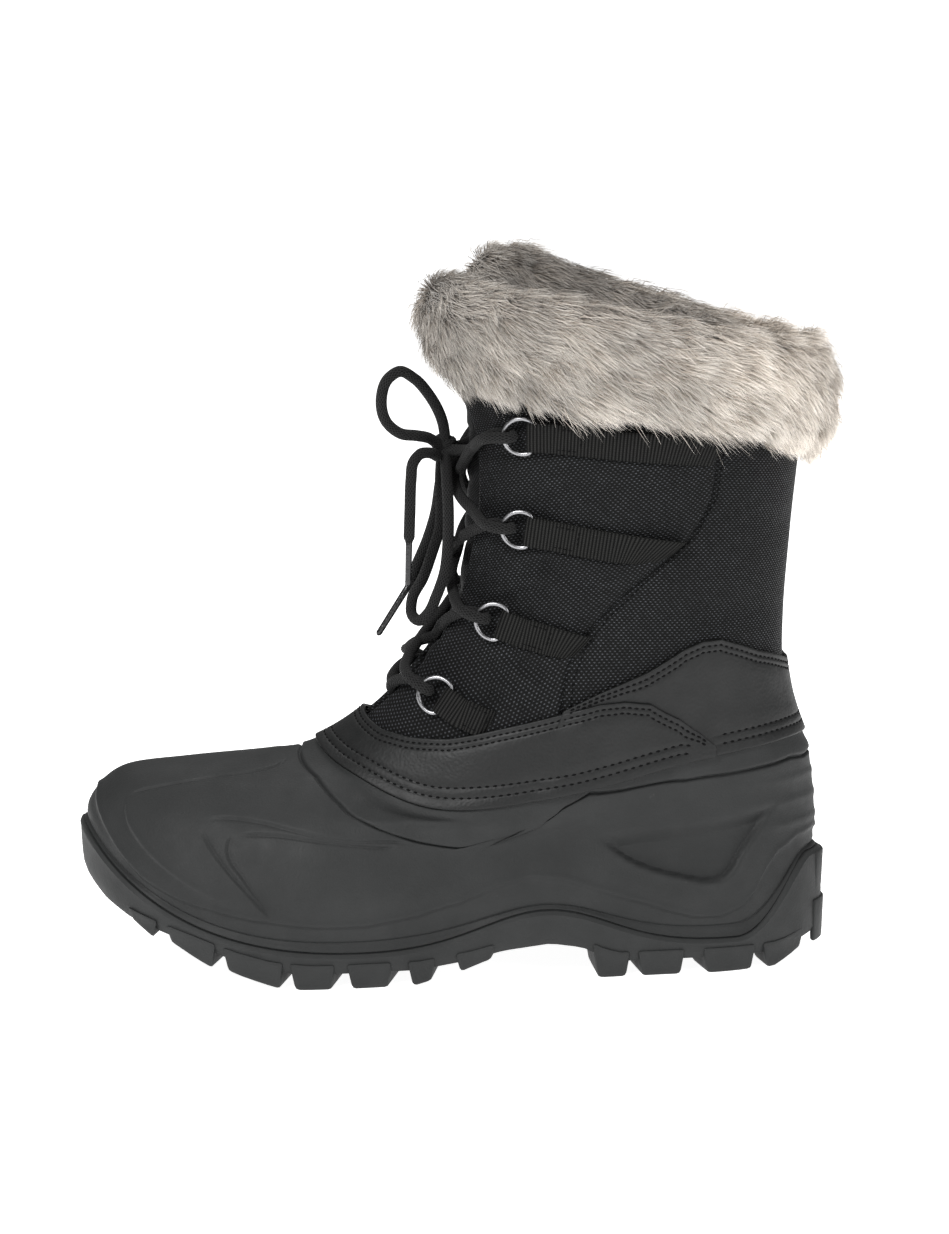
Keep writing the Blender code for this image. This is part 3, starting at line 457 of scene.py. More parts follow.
def swept(
    name: str,
    path: Points,
    radius: Points | float,
    around: int,
    ribs: int = 0,
    rib_height: float = 0.0,
    closed: bool = False,
) -> bpy.types.Object:
    """A round bar along a path, with lengthwise ribs if it has any.

    Args:
        name: The piece's name.
        path: Points in millimetres.
        radius: Its radius, one for all or one for each point.
        around: Corners round the bar.
        ribs: How many lengthwise ribs it has.
        rib_height: How far the ribs stand out.
        closed: True if its end meets its start.

    Returns:
        The bar, closed at both ends, with U along it and V round it in millimetres.
    """
    path = np.asarray(path, float)
    radius = np.broadcast_to(np.asarray(radius, float), (len(path),))
    ahead, up, side = frames_along(path, closed=closed)
    turn = np.linspace(0, 2 * pi, around + 1)
    grown = radius[:, None] + rib_height * np.cos(turn * ribs)[None] * (ribs > 0)
    ring = up[:, None] * np.cos(turn)[None, :, None] + side[:, None] * np.sin(turn)[None, :, None]
    points = path[:, None] + ring * grown[..., None]
    length = run_length(path)
    if closed:
        points = np.concatenate([points, points[:1]])
        length = np.append(length, length[-1] + np.linalg.norm(path[0] - path[-1]))
    else:
        centres = np.repeat(path[[0, -1]][:, None], around + 1, 1)
        bulge = np.array([-ahead[0], ahead[-1]])[:, None] * radius[[0, -1], None, None]
        edge = centres * 0.45 + points[[0, -1]] * 0.55 + bulge * 0.7
        tip = centres + bulge * 0.95
        points = np.concatenate([tip[:1], edge[:1], points, edge[1:], tip[1:]])
        length = np.concatenate([length[:1], length[:1], length, length[-1:], length[-1:]])
    chart = np.empty((*points.shape[:2], 2))
    chart[..., 0] = length[:, None]
    chart[..., 1] = (turn / (2 * pi))[None] * (2 * pi * radius.mean())
    piece = laid_grid(name, points, chart, around=True)
    face_out(piece)
    return piece


def merged(name: str, pieces: list[bpy.types.Object]) -> bpy.types.Object:
    """Joins several objects into one."""
    clear_selection()
    for piece in pieces:
        piece.select_set(True)
    bpy.context.view_layer.objects.active = pieces[0]
    if len(pieces) > 1:
        bpy.ops.object.join()
    made = bpy.context.view_layer.objects.active
    made.name = made.data.name = name
    return made


def many(name: str, corners: Points, faces: Points, chart: Points) -> bpy.types.Object:
    """A joined mesh of many copies of one small form.

    Args:
        name: The piece's name.
        corners: For each copy, its corners in millimetres.
        faces: The form's own faces, as rows of corner numbers, all with the same count.
        chart: For each copy, the U and V of its corners.

    Returns:
        The joined piece.
    """
    count, each = corners.shape[:2]
    mesh = bpy.data.meshes.new(name)
    every = (faces[None] + (np.arange(count) * each)[:, None, None]).reshape(-1)
    sides = faces.shape[1]
    total = len(every) // sides
    mesh.vertices.add(count * each)
    mesh.vertices.foreach_set("co", (corners.reshape(-1) * MM).astype(np.float32))
    mesh.loops.add(len(every))
    mesh.loops.foreach_set("vertex_index", every.astype(np.int32))
    mesh.polygons.add(total)
    mesh.polygons.foreach_set("loop_start", np.arange(0, len(every), sides, dtype=np.int32))
    mesh.polygons.foreach_set("loop_total", np.full(total, sides, dtype=np.int32))
    layer = mesh.uv_layers.new(name="UVMap")
    layer.data.foreach_set("uv", chart.reshape(-1, 2)[every].ravel().astype(np.float32))
    mesh.update(calc_edges=True)
    mesh.polygons.foreach_set("use_smooth", np.ones(total, bool))
    piece = bpy.data.objects.new(name, mesh)
    bpy.context.scene.collection.objects.link(piece)
    return piece


def dressed(piece: bpy.types.Object, finish: "Finish", *nodes: str) -> bpy.types.Object:
    """Gives a piece its finish and its place in the frame.

    Args:
        piece: The finished piece.
        finish: What it is made of.
        nodes: The frame's nodes that it stands for.

    Returns:
        The piece.
    """
    piece.data.materials.clear()
    piece.data.materials.append(finish.material())
    piece.data.transform(Matrix.Translation(AHEAD * MM))
    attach(piece, "root")
    if nodes:
        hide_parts(*nodes)
    triangles = sum(len(face.vertices) - 2 for face in piece.data.polygons) if piece.type == "MESH" else 0
    LOG.info("%s: %s, %d triangles", piece.name, finish.slot, triangles)
    return piece


# ---------------------------------------------------------------- finishes
Link = bpy.types.NodeSocket


def linear(colour: str) -> tuple[float, float, float, float]:
    """An sRGB hex colour as linear red, green, blue and alpha."""
    shares = [int(colour[start : start + 2], 16) / 255 for start in (1, 3, 5)]
    return (*[v / 12.92 if v <= 0.04045 else ((v + 0.055) / 1.055) ** 2.4 for v in shares], 1.0)


def add(
    tree: bpy.types.NodeTree, kind: str, inputs: dict | None = None, **settings: object
) -> bpy.types.Node:
    """Adds a node.

    Args:
        tree: The material's nodes.
        kind: The node's type, without its ShaderNode prefix.
        inputs: For each input's name or number, its value or the socket that feeds it.
        settings: The node's own properties.

    Returns:
        The node.
    """
    made = tree.nodes.new("ShaderNode" + kind)
    for name, value in settings.items():
        setattr(made, name, value)
    for name, value in (inputs or {}).items():
        if isinstance(value, Link):
            tree.links.new(value, made.inputs[name])
        else:
            made.inputs[name].default_value = value
    return made


def shaded(tree: bpy.types.NodeTree, factor: Link, *stops: tuple[float, str]) -> Link:
    """A colour that runs through the stops as the factor rises."""
    ramp = add(tree, "ValToRGB", {"Fac": factor})
    elements = ramp.color_ramp.elements
    while len(elements) < len(stops):
        elements.new(0.5)
    for element, (place, colour) in zip(elements, stops):
        element.position = place
        element.color = linear(colour)
    return ramp.outputs["Color"]


def figured(tree: bpy.types.NodeTree, operation: str, *values: Link | float) -> Link:
    """The result of a Math node."""
    return add(tree, "Math", dict(enumerate(values)), operation=operation).outputs[0]


def cloth_chart(tree: bpy.types.NodeTree) -> bpy.types.NodeOutputs:
    """The piece's own chart, as the outputs X and Y."""
    return add(tree, "SeparateXYZ", {0: add(tree, "UVMap").outputs["UV"]}).outputs


def remap(
    tree: bpy.types.NodeTree, value: Link, low: float, high: float, start: float = 0.0, end: float = 1.0
) -> Link:
    """The value's range from start to end, spread from low to high."""
    settings = {"Value": value, "From Min": start, "From Max": end, "To Min": low, "To Max": high}
    return add(tree, "MapRange", settings).outputs["Result"]


@dataclass(frozen=True)
class Finish:
    """What a piece is made of. Each kind paints its own nodes into a Principled material."""

    name: str
    slot: str

    def material(self) -> bpy.types.Material:
        """The material, made once."""
        made = bpy.data.materials.get(self.name)
        if made is None:
            made = bpy.data.materials.new(self.name)
            made.use_nodes = True
            tree = made.node_tree
            self.paint(tree, tree.nodes["Principled BSDF"].inputs)
        return made

    def paint(self, tree: bpy.types.NodeTree, shader: bpy.types.NodeInputs) -> None:
        """Paints the nodes."""
        raise NotImplementedError

    def noise(self, tree: bpy.types.NodeTree, size: float, detail: float = 3.0, rough: float = 0.55) -> Link:
        """Noise on the object's own coordinates, with patches about `size` millimetres across."""
        place = add(tree, "TexCoord").outputs["Object"]
        settings = {"Vector": place, "Scale": 1 / (size * MM), "Detail": detail, "Roughness": rough}
        return add(tree, "TexNoise", settings).outputs["Fac"]

    def bump(self, tree: bpy.types.NodeTree, height: Link, depth: float, under: Link | None = None) -> Link:
        """A bump of that depth in millimetres, laid over another one if there is one."""
        inputs = {"Height": height, "Distance": depth * MM, "Strength": 1.0}
        if under is not None:
            inputs["Normal"] = under
        return add(tree, "Bump", inputs).outputs["Normal"]


@dataclass(frozen=True)
class MouldedRubber(Finish):
    """Thermoplastic rubber from a spark-eroded mould: matt charcoal with a fine even grain.

    It gives the eye broad soft highlights, faint clouding, and a dry greyer bloom where it is handled.
    """

    dark: str = "#1c1d1d"
    pale: str = "#232424"
    roughness: tuple[float, float] = (0.56, 0.68)
    cloud: float = 30.0
    grain: float = 0.9  # the mould's grain is finer, and is drawn this coarse to show

    def paint(self, tree: bpy.types.NodeTree, shader: bpy.types.NodeInputs) -> None:
        """Clouding in the colour and the gloss, a few pale scuffs, and the grain as bump."""
        cloud = self.noise(tree, self.cloud)
        tint = shaded(tree, cloud, (0.3, self.dark), (0.72, self.pale))
        scuff = remap(tree, self.noise(tree, 7.0, 8.0, 0.75), 0.0, 0.32, 0.66, 0.8)
        mixed = add(tree, "Mix", {0: scuff, 6: tint, 7: linear("#5a5b5b")}, data_type="RGBA")
        tree.links.new(mixed.outputs[2], shader["Base Color"])
        tree.links.new(remap(tree, self.noise(tree, 11.0), *self.roughness, 0.3, 0.7), shader["Roughness"])
        grain = self.bump(tree, self.noise(tree, self.grain, 2.0, 0.5), 0.14)
        tree.links.new(grain, shader["Normal"])
        shader["Specular IOR Level"].default_value = 0.3


@dataclass(frozen=True)
class CoatedLeather(Finish):
    """Polyurethane-coated split: a smooth, softly glossy skin with a very fine pebble grain."""

    dark: str = "#070808"
    pale: str = "#0c0d0d"
    grain: float = 1.1  # pebbles are about 0.5 mm across, drawn larger to show

    def paint(self, tree: bpy.types.NodeTree, shader: bpy.types.NodeInputs) -> None:
        """Pebbles as bump, a faint mottle, and gloss that varies with handling."""
        place = add(tree, "TexCoord").outputs["Object"]
        inputs = {"Vector": place, "Scale": 1 / (self.grain * MM)}
        pebbles = add(tree, "TexVoronoi", inputs, feature="SMOOTH_F1")
        tint = shaded(tree, self.noise(tree, 16.0), (0.3, self.dark), (0.7, self.pale))
        tree.links.new(tint, shader["Base Color"])
        tree.links.new(remap(tree, self.noise(tree, 9.0), 0.48, 0.6, 0.3, 0.7), shader["Roughness"])
        grain = self.bump(tree, pebbles.outputs["Distance"], 0.12)
        waves = self.bump(tree, self.noise(tree, 10.0, 2.0), 0.12, grain)
        tree.links.new(waves, shader["Normal"])
        shader["Specular IOR Level"].default_value = 0.35


@dataclass(frozen=True)
class WovenNylon(Finish):
    """Heavy basket-woven nylon: plump thread crossings in staggered rows, each with a small glint painted
    into its colour.
    """

    pitch: float = 1.85
    row: float = 0.85  # rows are really 0.7 mm apart, drawn coarser to show
    # painted shade in the gaps between the thread crossings
    dark: str = "#020202"
    thread: str = "#0c0d0e"
    # painted highlight on the tops of the thread crossings
    pale: str = "#3c3e42"
    depth: float = 0.3

    def paint(self, tree: bpy.types.NodeTree, shader: bpy.types.NodeInputs) -> None:
        """Round pillows in staggered rows on the cloth's own chart, with painted shade between them and a
        painted highlight of uneven strength on each top.
        """
        chart = cloth_chart(tree)
        waves = []
        for axis, period in (("X", self.pitch), ("Y", 2 * self.row), ("Y", self.row)):
            turn = figured(tree, "MULTIPLY", chart[axis], 2 * pi / period)
            waves.append(figured(tree, "COSINE", turn))
        checks = figured(tree, "MULTIPLY", waves[0], waves[1])
        rows = figured(tree, "MULTIPLY_ADD", waves[2], 0.45, checks)
        pillow = remap(tree, rows, 0.0, 1.0, -0.5, 1.45)
        # painted highlight: this finer noise makes each crossing's glint stronger or weaker; the larger noise
        # is the cloth's own uneven fading
        glint_strength = remap(tree, self.noise(tree, 2.4, 2.0), 0.45, 1.55, 0.3, 0.7)
        faded = remap(tree, self.noise(tree, 14.0), 0.75, 1.25, 0.3, 0.7)
        glints_and_wear = figured(tree, "MULTIPLY", glint_strength, faded)
        # the ramp paints shade into the gaps and a highlight onto the crossing tops
        tint = shaded(tree, pillow, (0.1, self.dark), (0.6, self.thread), (1.0, self.pale))
        tint_with_glints_and_wear = add(tree, "VectorMath", {0: tint, 3: glints_and_wear}, operation="SCALE")
        tree.links.new(tint_with_glints_and_wear.outputs[0], shader["Base Color"])
        tree.links.new(remap(tree, pillow, 0.85, 0.42), shader["Roughness"])
        cloth = self.bump(tree, pillow, self.depth)
        tree.links.new(self.bump(tree, self.noise(tree, 5.0, 2.0), 0.25, cloth), shader["Normal"])
        shader["Specular IOR Level"].default_value = 0.2


@dataclass(frozen=True)
class RibbedWebbing(Finish):
    """Polyester tape woven with crosswise ribs: matt black, each rib a row of short floats."""

    rib: float = 1.3
    float_width: float = 0.8
    # painted shade in the hollows between ribs and floats
    dark: str = "#020202"
    # painted highlight on the crests of the ribs and floats
    pale: str = "#2a2a29"

    def paint(self, tree: bpy.types.NodeTree, shader: bpy.types.NodeInputs) -> None:
        """Rounded ribs across the tape and fine floats along it, with painted shade in the hollows and a
        painted highlight on the crests.
        """
        chart = cloth_chart(tree)
        along = figured(tree, "MULTIPLY", chart["X"], 2 * pi / self.rib)
        across = figured(tree, "MULTIPLY", chart["Y"], 2 * pi / self.float_width)
        ribs = remap(tree, figured(tree, "SINE", along), 0.0, 1.0, -1.0, 1.0)
        floats = remap(tree, figured(tree, "SINE", across), 0.6, 1.0, -1.0, 1.0)
        height = figured(tree, "MULTIPLY", ribs, floats)
        # the colour follows the height: painted shade in the hollows, painted highlight on the crests
        tree.links.new(shaded(tree, height, (0.0, self.dark), (1.0, self.pale)), shader["Base Color"])
        tree.links.new(self.bump(tree, height, 0.28), shader["Normal"])
        shader["Roughness"].default_value = 0.72
        shader["Specular IOR Level"].default_value = 0.08


@dataclass(frozen=True)
class BraidedYarn(Finish):
    """A round polyester braid: plump strands crossing in two diagonals, matt black with a soft fuzz."""

    strand: float = 1.7
    # painted shade between the strands
    dark: str = "#040404"
    # painted highlight on the crowns of the strands
    pale: str = "#272727"
    lean: float = 1.6  # how much the strands slant across the lace

    def paint(self, tree: bpy.types.NodeTree, shader: bpy.types.NodeInputs) -> None:
        """The two diagonals of the braid, one over the other, with painted shade between the strands and a
        painted highlight on their crowns.
        """
        chart = cloth_chart(tree)
        waves = []
        for sign in (1, -1):
            slant = figured(tree, "MULTIPLY_ADD", chart["Y"], self.lean * sign, chart["X"])
            turn = figured(tree, "MULTIPLY", slant, 2 * pi / self.strand)
            waves.append(remap(tree, figured(tree, "SINE", turn), 0.0, 1.0, -1.0, 1.0))
        height = figured(tree, "MAXIMUM", *waves)
        # the colour follows the height: painted shade between the strands, painted highlight on their crowns
        tree.links.new(shaded(tree, height, (0.35, self.dark), (1.0, self.pale)), shader["Base Color"])
        tree.links.new(self.bump(tree, height, 0.35), shader["Normal"])
        shader["Roughness"].default_value = 0.8
        shader["Specular IOR Level"].default_value = 0.1
        shader["Sheen Weight"].default_value = 0.04


@dataclass(frozen=True)
class Yarn(Finish):
    """Bonded sewing thread: two plies twisted together, black and slightly waxy."""

    colour: str = "#030303"

    def paint(self, tree: bpy.types.NodeTree, shader: bpy.types.NodeInputs) -> None:
        """The twist as bump on a plain thread."""
        twist = self.noise(tree, 0.4, 1.0)
        tree.links.new(shaded(tree, twist, (0.3, self.colour), (0.8, "#0c0c0d")), shader["Base Color"])
        tree.links.new(self.bump(tree, twist, 0.1), shader["Normal"])
        shader["Roughness"].default_value = 0.6
        shader["Specular IOR Level"].default_value = 0.08


@dataclass(frozen=True)
class BrushedPile(Finish):
    """Brushed felt or fleece: a soft nap with no gloss."""

    dark: str = "#19191a"
    pale: str = "#3a3a3b"
    nap: float = 2.2

    def paint(self, tree: bpy.types.NodeTree, shader: bpy.types.NodeInputs) -> None:
        """A nap in the colour and in the bump."""
        nap = self.noise(tree, self.nap, 5.0, 0.7)
        tree.links.new(shaded(tree, nap, (0.3, self.dark), (0.7, self.pale)), shader["Base Color"])
        tree.links.new(self.bump(tree, nap, 0.9), shader["Normal"])
        shader["Roughness"].default_value = 0.95
        shader["Sheen Weight"].default_value = 0.3


@dataclass(frozen=True)
class FurFibre(Finish):
    """Acrylic guard hair over down: taupe at the root, silvery cream at the tip, each lock its own shade. The
    root's taupe is darkened further as painted shade between the tufts, and U adds painted light toward the
    heel and painted shade inside the collar.
    """

    # partly the fibre's own taupe, partly painted shade between the tufts
    root: str = "#3f372f"
    middle: str = "#968c81"
    tip: str = "#e2dcd4"

    def paint(self, tree: bpy.types.NodeTree, shader: bpy.types.NodeInputs) -> None:
        """From root to tip along V, with the dark root partly painted shade, and lighter or darker with U,
        which holds each lock's own tone together with painted light and shade.
        """
        chart = cloth_chart(tree)
        tint = shaded(tree, chart["Y"], (0.05, self.root), (0.5, self.middle), (0.95, self.tip))
        shade = remap(tree, chart["X"], 0.38, 1.5, 0.1, 1.0)
        mixed = add(tree, "VectorMath", {0: tint, 3: shade}, operation="SCALE")
        tree.links.new(mixed.outputs[0], shader["Base Color"])
        shader["Roughness"].default_value = 0.62
        shader["Specular IOR Level"].default_value = 0.3
        shader["Sheen Weight"].default_value = 0.25


@dataclass(frozen=True)
class PlatedSteel(Finish):
    """Bent steel wire, nickel plated to a gunmetal tone and lightly brushed by tumbling."""

    colour: str = "#8c8c8e"

    def paint(self, tree: bpy.types.NodeTree, shader: bpy.types.NodeInputs) -> None:
        """A slightly uneven gloss."""
        shader["Base Color"].default_value = linear(self.colour)
        shader["Metallic"].default_value = 1.0
        tree.links.new(remap(tree, self.noise(tree, 1.5), 0.22, 0.38, 0.3, 0.7), shader["Roughness"])
        tree.links.new(self.bump(tree, self.noise(tree, 0.5, 2.0), 0.02), shader["Normal"])


@dataclass(frozen=True)
class ShrunkFilm(Finish):
    """Acetate film shrunk on the lace's end: thin, black and glossy, the yarn's ridges showing through."""

    def paint(self, tree: bpy.types.NodeTree, shader: bpy.types.NodeInputs) -> None:
        """Soft ridges under the gloss."""
        ridge = self.noise(tree, 1.0, 1.0)
        tree.links.new(shaded(tree, ridge, (0.3, "#0c0c0d"), (0.7, "#1b1b1c")), shader["Base Color"])
        tree.links.new(self.bump(tree, ridge, 0.12), shader["Normal"])
        shader["Roughness"].default_value = 0.25


@dataclass(frozen=True)
class StudioPaper(Finish):
    """Opal acrylic light table: matt white, and lit from below so that its shadows stay pale."""

    def paint(self, tree: bpy.types.NodeTree, shader: bpy.types.NodeInputs) -> None:
        """Almost even white."""
        tint = shaded(tree, self.noise(tree, 900.0, 1.0), (0.0, "#f4f4f4"), (1.0, "#fbfbfb"))
        tree.links.new(tint, shader["Base Color"])
        shader["Emission Color"].default_value = (1, 1, 1, 1)
        shader["Emission Strength"].default_value = 0.94
        shader["Roughness"].default_value = 0.95


SHELL_RUBBER = MouldedRubber("moulded rubber shell", "shell_rubber")
SOLE_RUBBER = MouldedRubber("moulded rubber sole", "sole_rubber", "#1f2020", "#272828", (0.6, 0.7), 24.0)
LEATHER = CoatedLeather("polyurethane coated leather", "synthetic_leather")
NYLON = WovenNylon("basket woven nylon", "nylon")
# its first and last colours are painted shade in the gaps and a painted highlight on the crossings
GUSSET_NYLON = WovenNylon("fine woven nylon", "tongue_nylon", 1.2, 0.6, "#010101", "#090909", "#34363a", 0.16)
WEBBING = RibbedWebbing("ribbed polyester tape", "webbing")
LACE_YARN = BraidedYarn("braided polyester lace", "lace_yarn")
THREAD = Yarn("bonded sewing thread", "synthetic_leather")
TAPE_THREAD = Yarn("bonded tape thread", "webbing")
LINING = BrushedPile("brushed fleece lining", "felt")
FELT = BrushedPile("pressed felt", "felt", "#3a3936", "#6a6862", 1.6)
FUR = FurFibre("acrylic fur fibre", "faux_fur")
# the ground's own taupe, darkened further as painted shade where it shows between the tufts
FUR_GROUND = BrushedPile("fur ground and down", "faux_fur", "#3d352e", "#7d7267", 1.2)
STEEL = PlatedSteel("gunmetal plated steel wire", "steel")
FILM = ShrunkFilm("shrunk acetate film", "aglet_film")
PAPER = StudioPaper("opal light table", "stage")


# ---------------------------------------------------------------- rubber
SHELL_WALL = 3.0
RIM_DROP = 0.6  # the sole's rim lies this far below the seam
TREAD = (
    (-146, 33), (-132, 24), (-124, 20.5), (-113.5, 16), (-103, 11), (-91.4, 6.2), (-78.4, 2.6), (-68, 0),
    (-24, 0), (-14, 1.6), (-5, 5), (9, 9), (30, 9), (46, 0), (115, 0), (129, 4.5), (137, 7),
)
BASE = (
    (-152, 39), (-140, 29.5), (-130, 24.5), (-118, 20.8), (-105, 16.8), (-90, 11.5), (-75, 7.5), (-60, 6),
    (-20, 6), (0, 9), (12, 12), (30, 14), (42, 12), (50, 8), (56, 6), (118, 6), (130, 9), (137, 11),
)
FLOOR = (
    (-152, 52), (-144, 46), (-130, 36), (-105, 25), (-90, 19.5), (-75, 15), (-60, 13.5), (-20, 13.5),
    (30, 18.5), (60, 20), (137, 20),
)


def height(profile: Sequence[tuple[float, float]], x: Points) -> Points:
    """Z of one of the profiles under the foot."""
    return np.interp(x, *np.array(profile, float).T)


def crowded(count: int, crowding: float = 0.72) -> Points:
    """Shares from 0 to 1, closer together near both ends."""
    share = np.linspace(0, 1, count + 1)
    return share - crowding * np.sin(2 * pi * share) / (2 * pi)


@dataclass
class Shell:
    """The moulded rubber foot, with the mould's ridges, panels and scoops."""

    columns: int = 460
    top: float = 6.2
    ridge: tuple[tuple[float, float], ...] = (
        (-143.3, 68.8), (-142.9, 63.2), (-137.8, 55), (-131.2, 47.5), (-124, 41), (-111.5, 35),
        (-97, 31.1), (-77.8, 27.6), (-58.7, 25.1), (-39.5, 24.9), (-20.3, 27.9), (-4, 32.2), (13.8, 38.9),
        (23, 41.1), (35, 39.7), (45.2, 36), (59.1, 31.1), (74.6, 25.7), (84.5, 22.9), (94.8, 22.6),
        (103.4, 26), (108.6, 31.4), (113.1, 39.7), (117.3, 44.9), (125.2, 49), (133.9, 49.5),
    )
    groove: tuple[tuple[float, float], ...] = (
        (-67, 85.7), (-58, 76.7), (-48.5, 68.4), (-34, 60.2), (-19.8, 55.1), (-3.6, 51.9), (6.9, 52.2),
        (22.9, 59.5), (34.3, 65.6), (45.7, 71.7), (64.6, 73.1), (82, 74.5), (98.9, 76.2), (111, 77.7),
        (123, 79.2), (129, 78.1),
    )
    creases: tuple[Crease, ...] = (
        # the edge of the panel over the toes, and the toe bumper that carries it on down to the ridge
        Crease(
            (
                (-131.5, 68.4), (-123.7, 71), (-112.5, 73.3), (-96.3, 75.9), (-80.5, 77.7), (-72.6, 79.3),
                (-69.3, 81),
            ),
            0.75, 0.55, 0.3, 0.8, 6,
        ),
        Crease(
            (
                (-131.5, 69), (-132, 66), (-131.1, 60.6), (-126.5, 54.1), (-118.3, 46.8), (-110.5, 41.6),
                (-98.9, 35.2), (-90, 31.5),
            ),
            0.25, 0.7, 0.5, 0.9, 6,
        ),
        # the arrow on the side of the forefoot: the arms of its outer edge, then of its inner one
        Crease(
            (
                (-101.1, 63.3), (-91, 63.9), (-79.9, 62.9), (-65.6, 59.8), (-53.3, 57.2), (-43.8, 56),
                (-31.1, 55.7), (-20.1, 54.4),
            ),
            0.6, 0.55, 0.35, 0.7, 6,
        ),
        Crease(
            (
                (-101.7, 60.2), (-96.5, 52.1), (-91, 45.3), (-83.3, 37.2), (-74.8, 27.7),
            ),
            0.75, 0.55, -0.25, 0.7, 6,
        ),
        Crease(
            (
                (-88, 58.5), (-72, 58.4), (-56.3, 56.3), (-43.8, 54.6), (-31, 53.3), (-25.1, 53.4),
            ),
            0.65, 0.55, 0.4, 0.7, 6,
        ),
        Crease(
            (
                (-88.4, 58.4), (-90.2, 57), (-91.2, 53.6), (-89.6, 48.3), (-86.1, 44), (-82.4, 38.6),
                (-74.8, 28.5),
            ),
            0.6, 0.55, -0.4, 0.7, 6,
        ),
    )
    scoop_upper: tuple[tuple[float, float], ...] = (
        (48, 55.5), (70, 57.6), (85, 58.8), (101, 61), (117, 64),
    )
    scoop_lower: tuple[tuple[float, float], ...] = (
        (48, 53.5), (53.6, 49.1), (59.6, 44.8), (69.6, 40.2), (80, 37.2), (90, 35.1), (96.1, 35.6),
        (99.6, 38.6), (103.6, 45.2), (109, 51.5), (117, 61),
    )
    scoop_depth: float = 3.8
    scoop_front: float = 48
    scoop_back: float = 117
    back_ridges: tuple[float, ...] = (71.0, 62.5, 54.0)
    rows: tuple[int, ...] = (6, 14, 54, 26)  # up to the seam's line, the ridge, the groove and the top edge

    def scoop(self, points: Points) -> Points:
        """The recess on the side of the heel: deep and sharp along its lower edge, fading out upwards."""
        x, z = points[..., 0], points[..., 2]
        upper = np.interp(x, *np.array(self.scoop_upper).T)
        across, rise = np.array(self.scoop_lower).T
        low = rounded(np.column_stack([across, 0 * across, rise]), 1.0)
        flat = np.stack([x, 0 * x, z], -1).reshape(-1, 3)
        near, _, _ = nearest_on(low, flat, np.tile((0.0, -1.0, 0.0), (len(flat), 1)))
        near = near.reshape(x.shape)
        bottom = np.interp(x, low[:, 0], low[:, 2])
        within = (x > self.scoop_front) & (x < self.scoop_back) & (z > bottom) & (z < upper)
        depth = self.scoop_depth * ease(near / 2.0) * ease((upper - z) / 8.5)
        lip = 0.6 * bell(near, 1.6) * ease((x - self.scoop_front) / 8) * ease((self.scoop_back - 5 - x) / 8)
        return np.where(within, -depth, 0.0) + lip

    def build(self) -> None:
        """The outer face with its relief, a rolled edge at the seam and the smooth inner face."""
        angle = np.linspace(0, 360, self.columns + 1)
        half = np.minimum(angle, 360 - angle)
        line = 0.14 + 0.05 * ease((half - 30) / 60)
        ridge = np.maximum(SKIN.edge(self.ridge, half), line + 0.12)
        groove = np.maximum(SKIN.edge(self.groove, half), ridge + 0.5)
        keys = [0 * half, line, ridge, groove, 0 * half + self.top]
        parts = []
        for n, count in enumerate(self.rows):
            share = crowded(count)[: count + (n == len(self.rows) - 1), None]
            parts.append(keys[n][None] + (keys[n + 1] - keys[n])[None] * share)
        level = np.concatenate(parts)
        skin = SKIN.at(angle[None], level)
        normal = SKIN.normal(angle[None], level)
        above = run_length(skin)
        start_line, start_ridge, start_groove = above[np.cumsum(self.rows[:3])]
        relief = -0.7 * bell(above - start_line, 0.5)
        under_ridge = ease((start_ridge - above) / 2.2) * ease(above / 1.5)
        relief += 0.35 * bell(above - start_ridge, 1.5) - 0.8 * under_ridge
        relief += -1.1 * bell(above - start_groove, 0.6) + 0.45 * ease((above - start_groove) / 1.6)
        relief += self.scoop(skin)
        behind = ease((half - 132) / 30)[None]
        for z in self.back_ridges:
            relief += 0.45 * bell(skin[..., 2] - z, 1.7) * behind
        outer = skin + normal * relief[..., None]
        sunk = outer[:1] - normal[:1] * 1.0 - (0, 0, 1.4)
        inner_level = np.linspace(self.top, 0, 26)[:, None]
        inner = SKIN.offset(angle[None], inner_level, np.full((26, len(angle)), -SHELL_WALL))
        points = np.concatenate([sunk, outer, inner, sunk])
        face_out(piece := laid_grid("rubber_shell", points, around=True))
        pressed(piece, self.creases, 1.7, 2)
        dressed(piece, SHELL_RUBBER, "shell")


